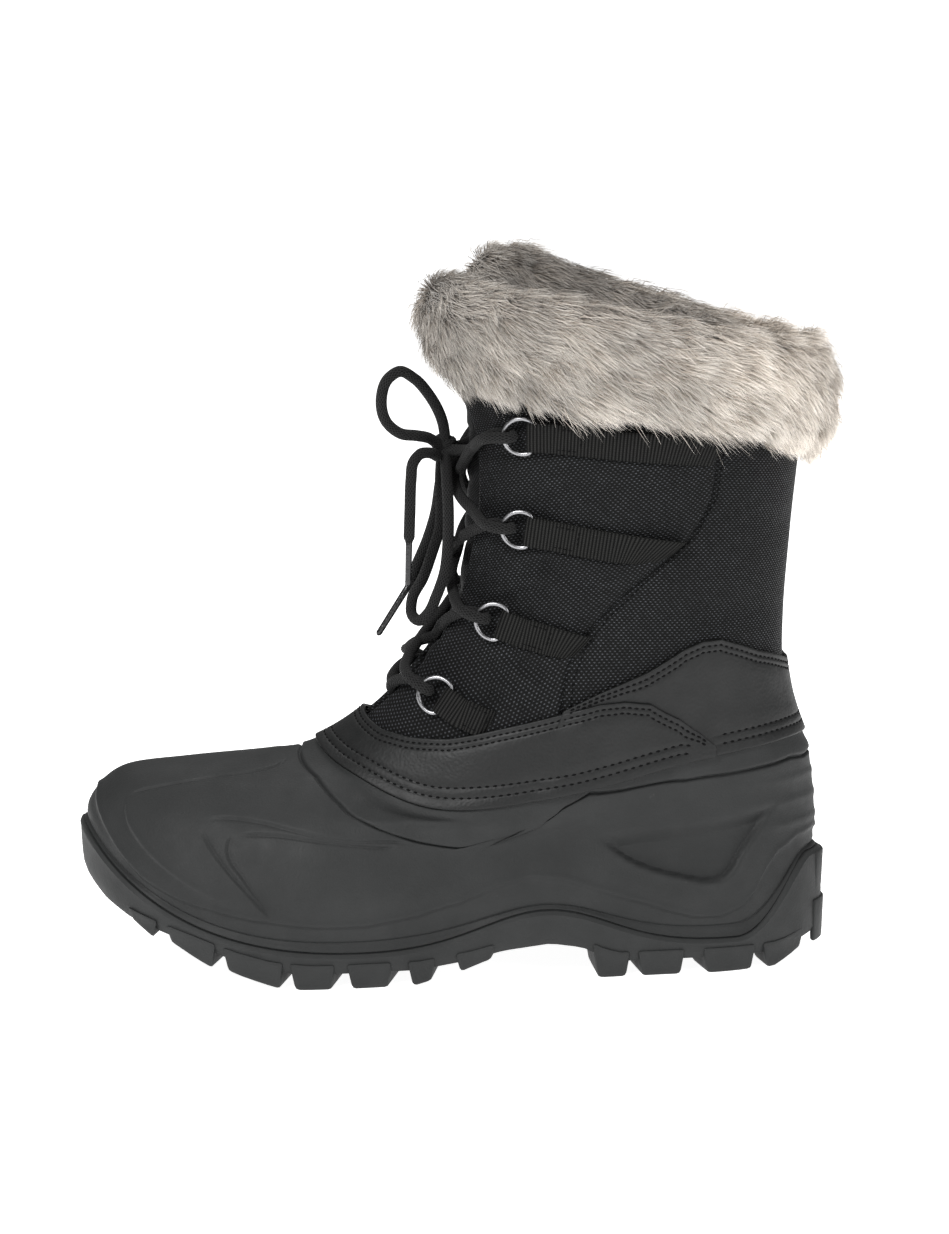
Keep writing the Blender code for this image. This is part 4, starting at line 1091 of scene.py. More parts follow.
@dataclass
class Outsole:
    """The lugged sole: a wall up to the seam, a floor, and blocks that also climb the wall."""

    columns: int = 240
    edge_lugs: tuple[tuple[float, float, float, float], ...] = (
        (-131, -119, 0.5, 3), (-116, -96.5, 0.5, 4), (-94.3, -71, 0.52, 5), (-69, -51.5, 0.52, 5),
        (-47.5, -30.2, 0.52, 5), (-24.6, -13.7, 0.5, 4), (-6.4, 9, 0.5, 3), (46, 60.5, 0.5, -3),
        (63, 81.4, 0.5, -4), (88, 108.8, 0.5, -5), (111.2, 128.5, 0.5, -4),
    )
    middle_lugs: tuple[tuple[float, float, float, float], ...] = (
        (-112, 11, 5, 4), (-93, 14, 5, 5), (-73, 15, 5, 5), (-53, 15, 5, 5), (-33, 14, 5, 5),
        (62, 10, 5, 4), (82, 11, 5, 4), (117, 11, 5, -4),
    )
    back_blocks: tuple[tuple[float, float, float], ...] = ((25.0, 40.0, 11.0), (4.6, 21.6, 13.0))
    rounding: float = 1.5
    taper: float = 1.8  # how much shorter a lug is at the tread, at its front and back

    def row(self, angle: Points, out: Points | float, z: Points | float | tuple) -> Points:
        """A row of the sole: the seam's outline moved out, at the heights z or on a profile."""
        row = SKIN.offset(angle, 0, np.broadcast_to(out, angle.shape))
        row[:, 2] = height(z, row[:, 0]) if isinstance(z, tuple) else z
        return row

    def outline(self, x: Points, side: int, out: float) -> Points:
        """Y of the sole's edge at X."""
        angle = np.linspace(1, 179, 179)
        row = SKIN.offset(angle if side < 0 else 360 - angle, 0, np.full(angle.shape, out))
        return np.interp(x, row[:, 0], row[:, 1])

    def body(self) -> bpy.types.Object:
        """The wall and floor without the blocks."""
        angle = np.linspace(0, 360, self.columns + 1)
        half = np.minimum(angle, 360 - angle)
        heel = ease((half - 140) / 25)
        seam = SKIN.seam_height(half)
        low = self.row(angle, 1.2, BASE)[:, 2]
        rim = SKIN.offset(angle, 0, np.full_like(angle, 1.2)) - (0, 0, RIM_DROP)
        wall = [
            self.row(angle, 0.1 + heel, BASE),
            self.row(angle, 0.9 + 1.1 * heel, low + 1.8),
            self.row(angle, 1.3 + 0.8 * heel, low + (seam - low) * 0.3),
            self.row(angle, 1.5 + 0.7 * heel, low + (seam - low) * 0.6),
            self.row(angle, 1.6 + 0.6 * heel, seam - 3.2),
            self.row(angle, 1.8 + 0.4 * heel, seam - 2.0),
            rim + (0, 0, -0.3),
            SKIN.offset(angle, 0, np.full_like(angle, 0.8)) - (0, 0, RIM_DROP - 0.1),
            SKIN.offset(angle, 0, np.full_like(angle, -SHELL_WALL - 0.3)) - (0, 0, RIM_DROP),
            self.row(angle, -SHELL_WALL - 1.8, FLOOR),
        ]
        under, over = wall[0], wall[-1]
        rows = [self.inward(under, share, BASE) for share in (1, 0.72, 0.45, 0.2, 0.05)]
        rows += wall
        rows += [self.inward(over, share, FLOOR) for share in (0.1, 0.4, 0.7, 1)]
        piece = laid_grid("outsole_body", np.array(rows), around=True, poles=True)
        face_out(piece)
        return piece

    def inward(self, row: Points, share: float, profile: Sequence[tuple[float, float]]) -> Points:
        """The row moved towards the sole's middle line."""
        middle = (row + row[::-1]) / 2
        moved = row + (middle - row) * share
        moved[:, 2] = height(profile, moved[:, 0])
        return moved

    def block(self, under: Points, over: Points, panel: float = 0.0) -> bpy.types.Object:
        """A rounded block between a lower and an upper grid of points.

        Args:
            under: Two rows of points at the tread, the outer one first.
            over: The same at the top.
            panel: How deep a panel is sunk in its outer face.

        Returns:
            The block.
        """
        grid = np.array([over[0], under[0], under[1], over[1], over[0]])
        piece = laid_grid("block", grid.transpose(1, 0, 2), around=True)
        choose(piece)
        bpy.ops.object.mode_set(mode="EDIT")
        bpy.ops.mesh.select_all(action="DESELECT")
        bpy.ops.mesh.select_non_manifold()
        bpy.ops.mesh.fill_holes(sides=0)
        bpy.ops.mesh.select_all(action="SELECT")
        bpy.ops.mesh.normals_make_consistent(inside=False)
        if panel:
            bpy.ops.mesh.select_all(action="DESELECT")
            bpy.ops.object.mode_set(mode="OBJECT")
            bpy.context.tool_settings.mesh_select_mode = (False, False, True)
            for number in range(0, 4 * (len(grid[0]) - 1), 4):
                piece.data.polygons[number].select = True
            bpy.ops.object.mode_set(mode="EDIT")
            bpy.ops.mesh.inset(thickness=1.9 * MM, depth=-panel * MM)
            bpy.context.tool_settings.mesh_select_mode = (True, False, False)
        bpy.ops.object.mode_set(mode="OBJECT")
        bevel = piece.modifiers.new("rounded", "BEVEL")
        bevel.width, bevel.segments, bevel.limit_method = self.rounding * MM, 2, "ANGLE"
        bevel.angle_limit = radians(35)
        bpy.ops.object.modifier_apply(modifier=bevel.name)
        return piece

    def edge_lug(self, side: int, start: float, end: float, share: float, slant: float) -> bpy.types.Object:
        """A block at the edge of the sole, from the tread up the side of the wall."""
        x = np.linspace(start, end, 5)
        edge = np.stack([x, self.outline(x, side, 2.6)], -1)
        core = np.stack([x + slant, self.outline(x, side, 0) * (1 - share)], -1)
        bottom = np.array([edge + (core - edge) * inner for inner in (0.04, 1)])
        top = np.array([edge + (core - edge) * inner for inner in (0, 1)])
        under = np.concatenate([bottom, height(TREAD, bottom[..., :1])], -1)
        under[..., 0] -= self.taper * np.linspace(-1, 1, 5)
        over = np.concatenate([top, height(BASE, top[..., :1]) + 4.2], -1)
        over[1, :, 2] -= 2.7
        return self.block(under, over, 0.45)

    def middle_lug(self, x: float, half: float, length: float, point: float) -> bpy.types.Object:
        """A chevron in the middle of the sole."""
        y = np.linspace(-half, half, 5)
        ridge = x - point * (1 - np.abs(y) / half)
        plan = np.array([np.stack([ridge - length, y], -1), np.stack([ridge + length, y], -1)])
        under = np.concatenate([plan, height(TREAD, plan[..., :1])], -1)
        over = np.concatenate([plan, height(BASE, plan[..., :1]) + 1.5], -1)
        return self.block(under, over)

    def back_block(self, low: float, high: float, half: float) -> bpy.types.Object:
        """A block across the back of the heel, between two heights."""
        angle = np.linspace(180 - half, 180 + half, 7)
        outside = [self.row(angle, 2.3, low), self.row(angle, 3.2, high)]
        within = [self.row(angle, 0.3, low + 0.6), self.row(angle, 0.3, high - 0.4)]
        return self.block(np.array(outside), np.array(within))

    def build(self) -> None:
        """The body united with all its blocks."""
        body = self.body()
        blocks = [self.edge_lug(side, *size) for size in self.edge_lugs for side in (-1, 1)]
        blocks += [self.middle_lug(*size) for size in self.middle_lugs]
        blocks += [self.back_block(*size) for size in self.back_blocks]
        tools = merged("blocks", blocks)
        choose(body)
        union = body.modifiers.new("union", "BOOLEAN")
        union.operation, union.solver, union.object, union.use_self = "UNION", "EXACT", tools, True
        bpy.ops.object.modifier_apply(modifier=union.name)
        bpy.data.objects.remove(tools)
        bpy.ops.object.shade_smooth_by_angle(angle=radians(38))
        body.name = body.data.name = "lugged_sole"
        dressed(body, SOLE_RUBBER, "outsole")


@dataclass
class Insole:
    """The removable felt footbed on the floor of the sole."""

    columns: int = 120
    thickness: float = 4.5
    lift: float = 0.3

    def build(self) -> None:
        """A cushion with rounded edges that follows the floor."""
        sole = Outsole()
        angle = np.linspace(0, 360, self.columns + 1)
        rows = []
        for out, rise in ((-6.4, 0), (-5.4, 0.7), (-5.2, 2.2), (-5.5, 3.7), (-6.8, self.thickness)):
            rows.append(sole.row(angle, out, FLOOR) + (0, 0, self.lift) + (0, 0, rise))
        low = [sole.inward(rows[0], share, FLOOR) + (0, 0, self.lift) for share in (1, 0.6, 0.25)]
        top = (0, 0, self.lift + self.thickness)
        high = [sole.inward(rows[-1], share, FLOOR) + top for share in (0.25, 0.6, 1)]
        piece = laid_grid("felt_insole", np.array(low + rows + high), around=True, poles=True)
        face_out(piece)
        dressed(piece, FELT, "insole")


# ---------------------------------------------------------------- sewing
@dataclass(frozen=True)
class Stitching:
    """A row of lock stitches: short threads that dive into the cloth at both ends."""

    pitch: float
    dash: float
    thread: float = 0.42  # radius
    sink: float = 0.4

    # the thread's rings: share along the dash, share of the sink, share of the radius
    shape = (
        (-0.5, -1.0, 0.0), (-0.42, -0.55, 0.85), (0.0, 0.35, 1.0), (0.42, -0.55, 0.85), (0.5, -1.0, 0.0),
    )
    corners = 6

    def along(
        self, route: Points, normals: Points, start: float = 0.0, end: float = 0.0
    ) -> tuple[Points, Points]:
        """The threads of one row.

        Args:
            route: Points along the seam.
            normals: The way out at each of them.
            start: How far from the route's start the row begins, in millimetres.
            end: How far before its end the row stops.

        Returns:
            The corners and the chart of every thread.
        """
        length = run_length(route)
        places = np.arange(start + self.pitch / 2, length[-1] - end - self.pitch / 2, self.pitch)

        def read(rows: Points) -> Points:
            """The rows' values at the places."""
            return np.stack([np.interp(places, length, rows[:, axis]) for axis in range(3)], -1)

        middle = read(route)
        ahead = unit(read(np.gradient(route, length, axis=0)))
        out = unit(read(normals))
        side = np.cross(ahead, out)
        rings = []
        for forward, rise, radius in self.shape:
            centre = middle + ahead * forward * self.dash + out * rise * self.sink
            for turn in np.arange(self.corners) * 2 * pi / self.corners:
                rings.append(centre + (side * cos(turn) + out * sin(turn)) * radius * self.thread)
        corners = np.stack(rings, 1)
        chart = np.zeros((*corners.shape[:2], 2))
        return corners, chart

    def faces(self) -> Points:
        """The four-cornered faces of one thread."""
        made = []
        for ring in range(len(self.shape) - 1):
            for corner in range(self.corners):
                a, b = ring * self.corners + corner, ring * self.corners + (corner + 1) % self.corners
                made.append((a, b, b + self.corners, a + self.corners))
        return np.array(made)


SeamRow = tuple[Stitching, Points, Points, float, float]


def sewn(name: str, rows: list[SeamRow], finish: Finish) -> bpy.types.Object:
    """All the rows of stitches of one part, as one piece."""
    made = [kind.along(route, normals, start, end) for kind, route, normals, start, end in rows]
    corners = np.concatenate([corner for corner, _ in made])
    chart = np.concatenate([place for _, place in made])
    piece = many(name, corners, rows[0][0].faces(), chart)
    choose(piece)
    bpy.ops.object.mode_set(mode="EDIT")
    bpy.ops.mesh.select_all(action="SELECT")
    bpy.ops.mesh.remove_doubles(threshold=2e-6)
    bpy.ops.mesh.normals_make_consistent(inside=False)
    bpy.ops.object.mode_set(mode="OBJECT")
    return dressed(piece, finish)


# ---------------------------------------------------------------- leather
@dataclass
class Band:
    """A leather overlay between two edges, with rounded cut edges and sunk stitch lines.

    low and high are the levels of its edges at each angle. low_seams and high_seams are the distances of the
    stitch lines from each edge. lift is how much further out each column stands, over another band.
    """

    name: str
    angle: Points
    low: Points
    high: Points
    low_seams: tuple[float, ...]
    high_seams: tuple[float, ...]
    lift: Points
    gap: float = 0.5
    thickness: float = 1.5
    margin: tuple[float, ...] = (0.0, 0.12, 0.35, 0.8)
    drop: tuple[float, ...] = (0.55, 0.16, 0.03, 0.0)
    seam_dip: float = 0.42
    low_seam_share: Points | float = 1.0
    rows: dict[tuple[str, float], tuple[Points, Points]] = field(default_factory=dict)

    def distances(self, seams: tuple[float, ...]) -> list[float]:
        """Rows from an edge inwards, close together at the edge and at each seam."""
        rows = list(self.margin)
        for seam in seams:
            rows += [seam - 0.9, seam - 0.45, seam, seam + 0.45, seam + 0.9]
        return sorted(rows)

    def seams(self, kind: str) -> tuple[float, ...]:
        """The stitch lines of the low or the high edge, and none between them."""
        return {"low": self.low_seams, "high": self.high_seams}.get(kind, ())

    def slant(self, edge: Points, column: Points) -> Points:
        """How much longer a distance from the edge is along the columns than square to the edge."""
        ahead = unit(np.gradient(edge, axis=0))
        return 1 / np.clip(np.linalg.norm(np.cross(ahead, unit(column)), axis=-1), 0.4, 1)

    def build(self, *nodes: str) -> bpy.types.Object:
        """The leather, and the routes of its stitch lines in `rows`."""
        fine = np.linspace(0, 1, 61)[:, None]
        levels = self.low + (self.high - self.low) * fine
        stand = self.gap + self.thickness + self.lift
        face = SKIN.offset(self.angle[None], levels, np.broadcast_to(stand, levels.shape))
        length = run_length(face)
        total = length[-1]
        low, high = self.distances(self.low_seams), self.distances(self.high_seams)
        squeeze = np.minimum(1, total / (low[-1] + high[-1] + 2))
        at_low = squeeze * self.slant(face[0], face[1] - face[0])
        at_high = squeeze * self.slant(face[-1], face[-1] - face[-2])
        room = np.minimum(1, total / (low[-1] * at_low + high[-1] * at_high + 1))
        start = [distance * at_low * room for distance in low]
        end = [total - distance * at_high * room for distance in reversed(high)]
        middle = [start[-1] + (end[0] - start[-1]) * share for share in (0.2, 0.4, 0.6, 0.8)]
        places = np.array(start + middle + end)
        columns = range(len(self.angle))
        level = np.stack([np.interp(places[:, n], length[:, n], levels[:, n]) for n in columns], 1)
        drops = np.zeros(len(places))
        drops[: len(self.drop)] = self.drop
        drops[-len(self.drop) :] = self.drop[::-1]
        dips = np.zeros(len(places))
        kinds = [("low", d) for d in low] + [("", 0.0)] * 4 + [("high", d) for d in reversed(high)]
        for row, (kind, distance) in enumerate(kinds):
            for seam in self.seams(kind):
                dips[row] += self.seam_dip * bell(distance - seam, 0.5)
        room = ease((total - 12) / 6)  # no sunk lines where the band runs out to a tip
        lower = np.array([kind == "low" for kind, _ in kinds])[:, None]
        sunk = dips[:, None] * room * np.where(lower, self.low_seam_share, 1.0)
        out = stand - drops[:, None] - sunk
        outer = SKIN.offset(self.angle[None], level, out)
        under = self.gap + self.lift * 0.6
        inner = SKIN.offset(self.angle[None], level[::-1], np.broadcast_to(under, level.shape))
        points = np.concatenate([outer, inner, outer[:1]])
        facing = np.concatenate([inner[::-1], outer[::-1], inner[-1:]])
        ends = points[:, [0, -1]] * 0.5 + facing[:, [0, -1]] * 0.5
        points = np.concatenate([ends[:, :1], points, ends[:, 1:]], 1)
        for row, (kind, distance) in enumerate(kinds):
            if distance in self.seams(kind):
                self.rows[kind, distance] = (outer[row], SKIN.normal(self.angle, level[row]))
        piece = laid_grid(self.name, points, around=True)
        face_out(piece)
        return dressed(piece, LEATHER, *nodes)


def round_toe(row: Points) -> Points:
    """A row that starts at the toe, with its mirror image before it."""
    return np.concatenate([row[:0:-1], row])


def round_heel(row: Points) -> Points:
    """A row that ends at the heel, with its mirror image after it."""
    return np.concatenate([row, row[-2::-1]])


@dataclass
class Leather:
    """The mudguard round the instep and the counter round the heel, lapped over the rubber, sewn twice."""

    low: float = 5.96
    guard_top: tuple[tuple[float, float], ...] = (
        (-41, 99.5), (-37.7, 96.3), (-31.2, 92.8), (-21.7, 91.7), (-6.6, 92.2), (12.3, 96.6), (31.1, 101.2),
        (50, 106.2), (59.4, 107), (68.8, 105.7), (80.1, 98.7), (87.6, 92.6), (93.2, 87.5),
    )
    guard_rear: tuple[float, float] = (93.2, 87.5)
    counter_top: tuple[tuple[float, float], ...] = (
        (36, 103.5), (49.9, 110.2), (67.7, 117.6), (82, 126), (88.5, 128.4), (95.5, 128.6), (103.2, 125.4),
        (110, 122), (121, 115.6),
    )
    counter_front: tuple[float, float] = (35.5, 102)
    under_guard: float = 6.0  # how far the counter runs on under the mudguard
    low_rows: Stitching = Stitching(3.0, 1.9)
    high_rows: Stitching = Stitching(2.5, 1.9)
    low_seams: tuple[float, ...] = (4.0, 7.3)
    high_seams: tuple[float, ...] = (2.1, 4.3)
    covered: int = 60  # columns of the counter that lie under the mudguard

    def build(self) -> None:
        """Both overlays and their stitches."""
        rear = float(SKIN.find(*self.guard_rear)[0])
        front = float(SKIN.find(*self.counter_front)[0])
        half = np.linspace(0, rear, 190)
        high = np.maximum(SKIN.edge(self.guard_top, half), self.low + 0.05)
        angle = np.concatenate([-half[:0:-1], half]) % 360
        lift = 1.15 * ease((half - front) / 7)
        seams = (self.low_seams, self.high_seams)
        low = np.full_like(angle, self.low)
        guard = Band("leather_mudguard", angle, low, round_toe(high), *seams, round_toe(lift))
        guard.build("mudguard")

        half = np.concatenate([np.linspace(front, rear + 1, self.covered), np.linspace(rear + 2, 180, 100)])
        edge = np.maximum(SKIN.edge(self.guard_top, half), self.low + 0.05)
        under = np.clip(edge - 0.03 * self.under_guard, self.low + 0.02, None)
        low = under + (self.low - under) * ease((half - rear + 16) / 9)
        high = np.maximum(SKIN.edge(self.counter_top, half), low + 0.03)
        angle = np.concatenate([half, 360 - half[-2::-1]])
        counter = Band("leather_heel_counter", angle, round_heel(low), round_heel(high), *seams, 0 * angle)
        counter.low_seam_share = round_heel(ease((half - rear + 2) / 3))
        counter.build("heel_counter")
        rows = []
        behind = slice(self.covered - 1, len(angle) - self.covered + 1)
        for distance in self.low_seams:
            route, normals = guard.rows["low", distance]
            rows.append((self.low_rows, route, normals, 8.0, 8.0))
            route, normals = counter.rows["low", distance]
            rows.append((self.low_rows, route[behind], normals[behind], 1.0, 1.0))
        for distance in self.high_seams:
            for band in (guard, counter):
                route, normals = band.rows["high", distance]
                rows.append((self.high_rows, route, normals, 3.0, 3.0))
        sewn("leather_stitches", rows, THREAD)


# ---------------------------------------------------------------- the leg
THROAT = (
    (5.9, 3, 3), (6.6, 8, 8), (6.95, 12, 12), (7.5, 18, 18), (8, 22, 22), (9, 26, 26), (10, 25, 26),
    (11, 17, 31), (12, 11, 36),
)
UPPER_WALL = 4.0
STRAPS = (((27.2, 207.6), (95.5, 200.6)), ((26.0, 171.6), (78, 162.8)), ((15.4, 135.2), (43.5, 127.3)),
          ((-7.4, 105.4), (8.4, 98.0)))


def throat(level: Points) -> tuple[Points, Points]:
    """Half-angles of the throat at the levels, on the outer and the inner side."""
    table = np.array(THROAT, float)
    return np.interp(level, table[:, 0], table[:, 1]), np.interp(level, table[:, 0], table[:, 2])


def levels_between(low: float, high: float, step: float) -> Points:
    """Levels about `step` millimetres apart up the front of the boot."""
    known = np.arange(13.0)
    heights = SKIN.at(np.zeros(13), known)
    length = run_length(heights)
    start, end = np.interp((low, high), known, length)
    return np.interp(np.linspace(start, end, int((end - start) / step) + 1), length, known)


@dataclass
class Leg:
    """The padded nylon leg, slit down the front, with an arched seam on each side and a fleece lining."""

    low: float = 5.9
    top: float = 12.0
    wall: float = UPPER_WALL
    columns: int = 260
    slant: float = 14.0
    arc: tuple[tuple[float, float], ...] = (
        (95.5, 218), (95.6, 208), (94.9, 197.8), (92.5, 183), (84.1, 168.3), (65.4, 152.8), (50.3, 138.6),
        (41.6, 127.2), (37.3, 115.7), (35.7, 105.6), (35.2, 99),
    )
    creases: tuple[Crease, ...] = (
        # soft troughs that run back from the rings
        Crease(((9, 142), (16, 146), (26, 149), (36, 149.5)), 1.8, 2.2, 0.9, 2, 8, 0.3),
        Crease(((10, 147), (18, 153), (28, 158), (38, 160)), 1.4, 2.4, 0.3, 2, 8, 0.3),
        Crease(((12, 128), (20, 122), (28, 118), (34, 117)), 1.7, 2.6, 0.7, 2, 8, 0.3),
        Crease(((22, 178), (32, 184), (46, 188), (62, 190)), 1.4, 3.6, 0.7, 3, 10, 0.3),
        Crease(((24, 163), (34, 157), (44, 152), (52, 147)), 1.4, 3.0, 0.4, 2, 8, 0.3),
        Crease(((20, 214), (34, 216), (52, 215)), 1.0, 3.0, 0.0, 2, 8, 0.3),
        Crease(((2, 112), (12, 108), (22, 106), (32, 106)), 1.6, 2.4, 0.6, 2, 8, 0.3),
        Crease(((4, 124), (13, 118), (22, 112), (30, 110)), 1.3, 2.2, 0.5, 2, 7, 0.3),
        Crease(((14, 158), (18, 168), (26, 176), (36, 178)), 1.1, 2.6, 0.4, 2, 8, 0.3),
        # long, faint sags over the calf and round the ankle
        Crease(((44, 118), (60, 130), (78, 138), (98, 140), (118, 134)), 1.2, 6.0, 0.5, 5, 14, 0.3),
        Crease(((98, 186), (108, 176), (118, 170), (124, 168)), 1.0, 6.0, 0.0, 4, 12, 0.3),
    )
    seam_rows: Stitching = Stitching(2.6, 1.9, 0.3, 0.3)

    def relief(self, points: Points, normals: Points) -> Points:
        """Puffs between the straps, the arched seam, and the creases."""
        total = np.zeros(points.shape[:-1])
        for crease in self.creases:
            total += crease.relief(points, normals)
        x, z = points[..., 0], points[..., 2]
        arc = np.array(self.arc)[::-1]
        behind = x - np.interp(z, arc[:, 1], arc[:, 0])
        puff = np.ones_like(total)
        for (x0, z0), (x1, z1) in STRAPS:
            middle = z0 + (z1 - z0) * (x - x0) / (x1 - x0)
            puff *= 1 - bell(z - middle, 10.5) * ease((x - x0 + 16) / 14) * ease((x1 - x + 10) / 8)
        front = ease(-behind / 16) * ease((z - 96) / 14) * ease((x - 4) / 14)
        total += 1.7 * puff * front
        total += 0.9 * ease(behind / 18) * ease((z - 112) / 20)
        return total

    def turn_cloth(self, piece: bpy.types.Object) -> None:
        """Turns the weave of the front panels, which are cut on a slant, ahead of the arched seam."""
        mesh = piece.data
        centres = np.empty(3 * len(mesh.polygons))
        mesh.polygons.foreach_get("center", centres)
        x, y, z = centres.reshape(-1, 3).T / MM
        arc = np.array(self.arc)[::-1]
        ahead = x < np.interp(z, arc[:, 1], arc[:, 0])
        count = np.empty(len(mesh.polygons), int)
        mesh.polygons.foreach_get("loop_total", count)
        turn = np.repeat(np.where(ahead, np.sign(y) * radians(self.slant), 0.0), count)
        chart = np.empty(2 * len(mesh.loops))
        layer = mesh.uv_layers.active.data
        layer.foreach_get("uv", chart)
        u, v = chart.reshape(-1, 2).T
        across, along = u * np.cos(turn) - v * np.sin(turn), u * np.sin(turn) + v * np.cos(turn)
        layer.foreach_set("uv", np.stack([across, along], 1).ravel())

    @property
    def seam(self) -> Crease:
        """The arched seam: the rear panel folded under and laid on the front one."""
        return Crease(self.arc, 1.1, 0.7, -0.8, 0.6, 6.0, 0.0)

    def outer(self, angle: Points, level: Points) -> tuple[Points, Points]:
        """The outer face and the way out of it."""
        skin, normal = SKIN.at(angle, level), SKIN.normal(angle, level)
        return skin + normal * self.relief(skin, normal)[..., None], normal

    def build(self) -> None:
        """Nylon with rolled edges at the throat, the lining, and the seam's stitches."""
        level = levels_between(self.low, self.top, 1.6)[:, None]
        left, right = throat(level)
        share = np.linspace(0, 1, self.columns)[None]
        angle = left + (360 - right - left) * share
        level = np.broadcast_to(level, angle.shape)
        face, normal = self.outer(angle, level)
        rolls = []
        for column in (0, -1):
            ahead = unit(face[:, column] - face[:, 1 if column == 0 else -2])
            roll = []
            for turn in np.radians([30, 60, 90, 120, 150, 180]):
                roll.append(face[:, column] + ahead * sin(turn) * self.wall / 2
                            + normal[:, column] * (cos(turn) - 1) * self.wall / 2)
            for back in (3.0, 7.0):
                roll.append(roll[5] - ahead * back)
            rolls.append(np.stack(roll, 1))
        points = np.concatenate([rolls[0][:, ::-1], face, rolls[1]], 1)
        chart = np.stack([run_length(points, 1), run_length(points, 0)], -1)
        middle = points.shape[1] // 2
        chart[..., 0] -= chart[:, middle : middle + 1, 0]
        chart[..., 1] = chart[:, middle : middle + 1, 1] + 0 * chart[..., 1]
        piece = laid_grid("nylon_leg", points, chart)
        pressed(piece, [self.seam], 3.0)
        self.turn_cloth(piece)
        dressed(piece, NYLON, "upper")

        level = levels_between(self.low - 0.2, self.top, 3.0)[:, None]
        left, right = throat(level)
        angle = left + 1 + (358 - right - left) * np.linspace(1, 0, 160)[None]
        lining = SKIN.offset(angle, np.broadcast_to(level, angle.shape), np.full(angle.shape, -self.wall))
        chart = np.stack([run_length(lining, 1), run_length(lining, 0)], -1)
        dressed(laid_grid("fleece_lining", lining, chart), LINING)

        rows = []
        for inner in (False, True):
            angle, level = SKIN.find(*np.array(self.arc).T, inner)
            where = run_length(SKIN.at(angle, level))
            even = np.linspace(0, where[-1], 120)
            angle, level = np.interp(even, where, angle), np.interp(even, where, level)
            angle = angle + (-2.6 if inner else 2.6)
            route, normals = self.outer(angle, level)
            route += normals * self.seam.relief(route, normals)[:, None]
            rows.append((self.seam_rows, route, normals, 2.0, 2.0))
        sewn("leg_stitches", rows, THREAD)


@dataclass
class Tongue:
    """The padded tongue with its bellows, tucked behind both facings and standing forward between them."""

    low: float = 6.6
    top: float = 11.3
    stand: tuple[tuple[float, float], ...] = (
        # level, and how far out the middle stands there
        (7.0, -5.0), (8.3, -4.0), (8.8, -2.2), (9.3, -1.0), (9.9, -2.4), (10.4, -3.2),
    )
    thickness: float = 3.0
    columns: int = 100
    folds: tuple[tuple[float, float, float], ...] = (
        # level, lean and depth of each cross fold under the lace
        (7.15, 0.10, 1.5), (7.45, -0.12, 1.4), (7.8, 0.15, 1.3), (8.25, -0.1, 1.1), (8.7, 0.12, 1.0),
        (9.3, -0.08, 0.9), (9.9, 0.1, 0.7), (10.5, -0.1, 0.6),
    )

    def out(self, level: Points) -> Points:
        """How far out the middle stands at the levels."""
        return np.interp(level, *np.array(self.stand).T)

    def build(self) -> None:
        """One closed pad with soft cross folds, and a bellows crease along each side."""
        level = levels_between(self.low, self.top, 1.5)[:, None]
        left, right = throat(level)
        share = np.linspace(-1, 1, self.columns)[None]
        angle = share * (np.where(share > 0, left, right) + 9)
        level = np.broadcast_to(level, angle.shape)
        middle = ease(1 - 2 * np.clip(np.abs(share) - 0.12, 0, 0.5)) * ease((level - 7.0) / 0.6)
        middle = middle * (1 - ease((level - 10.4) / 0.6))
        behind = -UPPER_WALL - 0.6
        out = behind + (self.out(level) - behind) * middle
        for place, lean, depth in self.folds:
            fold = level - place - lean * share
            out = out - depth * bell(fold, 0.07) * (1 - 0.8 * np.abs(share)) + 0.5 * bell(fold - 0.16, 0.1)
        out = out - 0.9 * bell(np.abs(share) - 0.55, 0.05)
        face = SKIN.offset(angle % 360, level, out)
        back = SKIN.offset(angle % 360, level, out - self.thickness)
        points = np.concatenate([face, back[:, ::-1], face[:, :1]], 1)
        ends = (points[[0, -1]] + np.concatenate([back, face[:, ::-1], back[:, :1]], 1)[[0, -1]]) / 2
        points = np.concatenate([ends[:1], points, ends[1:]])
        chart = np.stack([run_length(points, 1), run_length(points, 0)], -1)
        piece = laid_grid("padded_tongue", points, chart, around=True)
        face_out(piece)
        dressed(piece, GUSSET_NYLON, "tongue")


# ---------------------------------------------------------------- straps, rings and lace
class Side(Enum):
    """The two sides of the foot."""

    OUTER = "outer"
    INNER = "inner"


STRAP_WIDTH = 11.0
PLY = 0.9
PLY_LOW = 0.95
PLY_HIGH = 2.15
WIRE = 1.8
RING_HALF = 6.8
RING_REACH = 10.6
RING_TILT = 16
LACE = 4.1
LACE_GAP = 0.5
AGLET = 2.6
GAP = 0.3
CROSSING_LOW = 2.7  # the lace's middle over the tongue where it crosses it
CROSSING_HIGH = 5.4
FIRST_LEAN = -0.15  # how much lower the first crossing hangs, clear of the knot
KNOT = (-6.6, -2.0, 198.3)


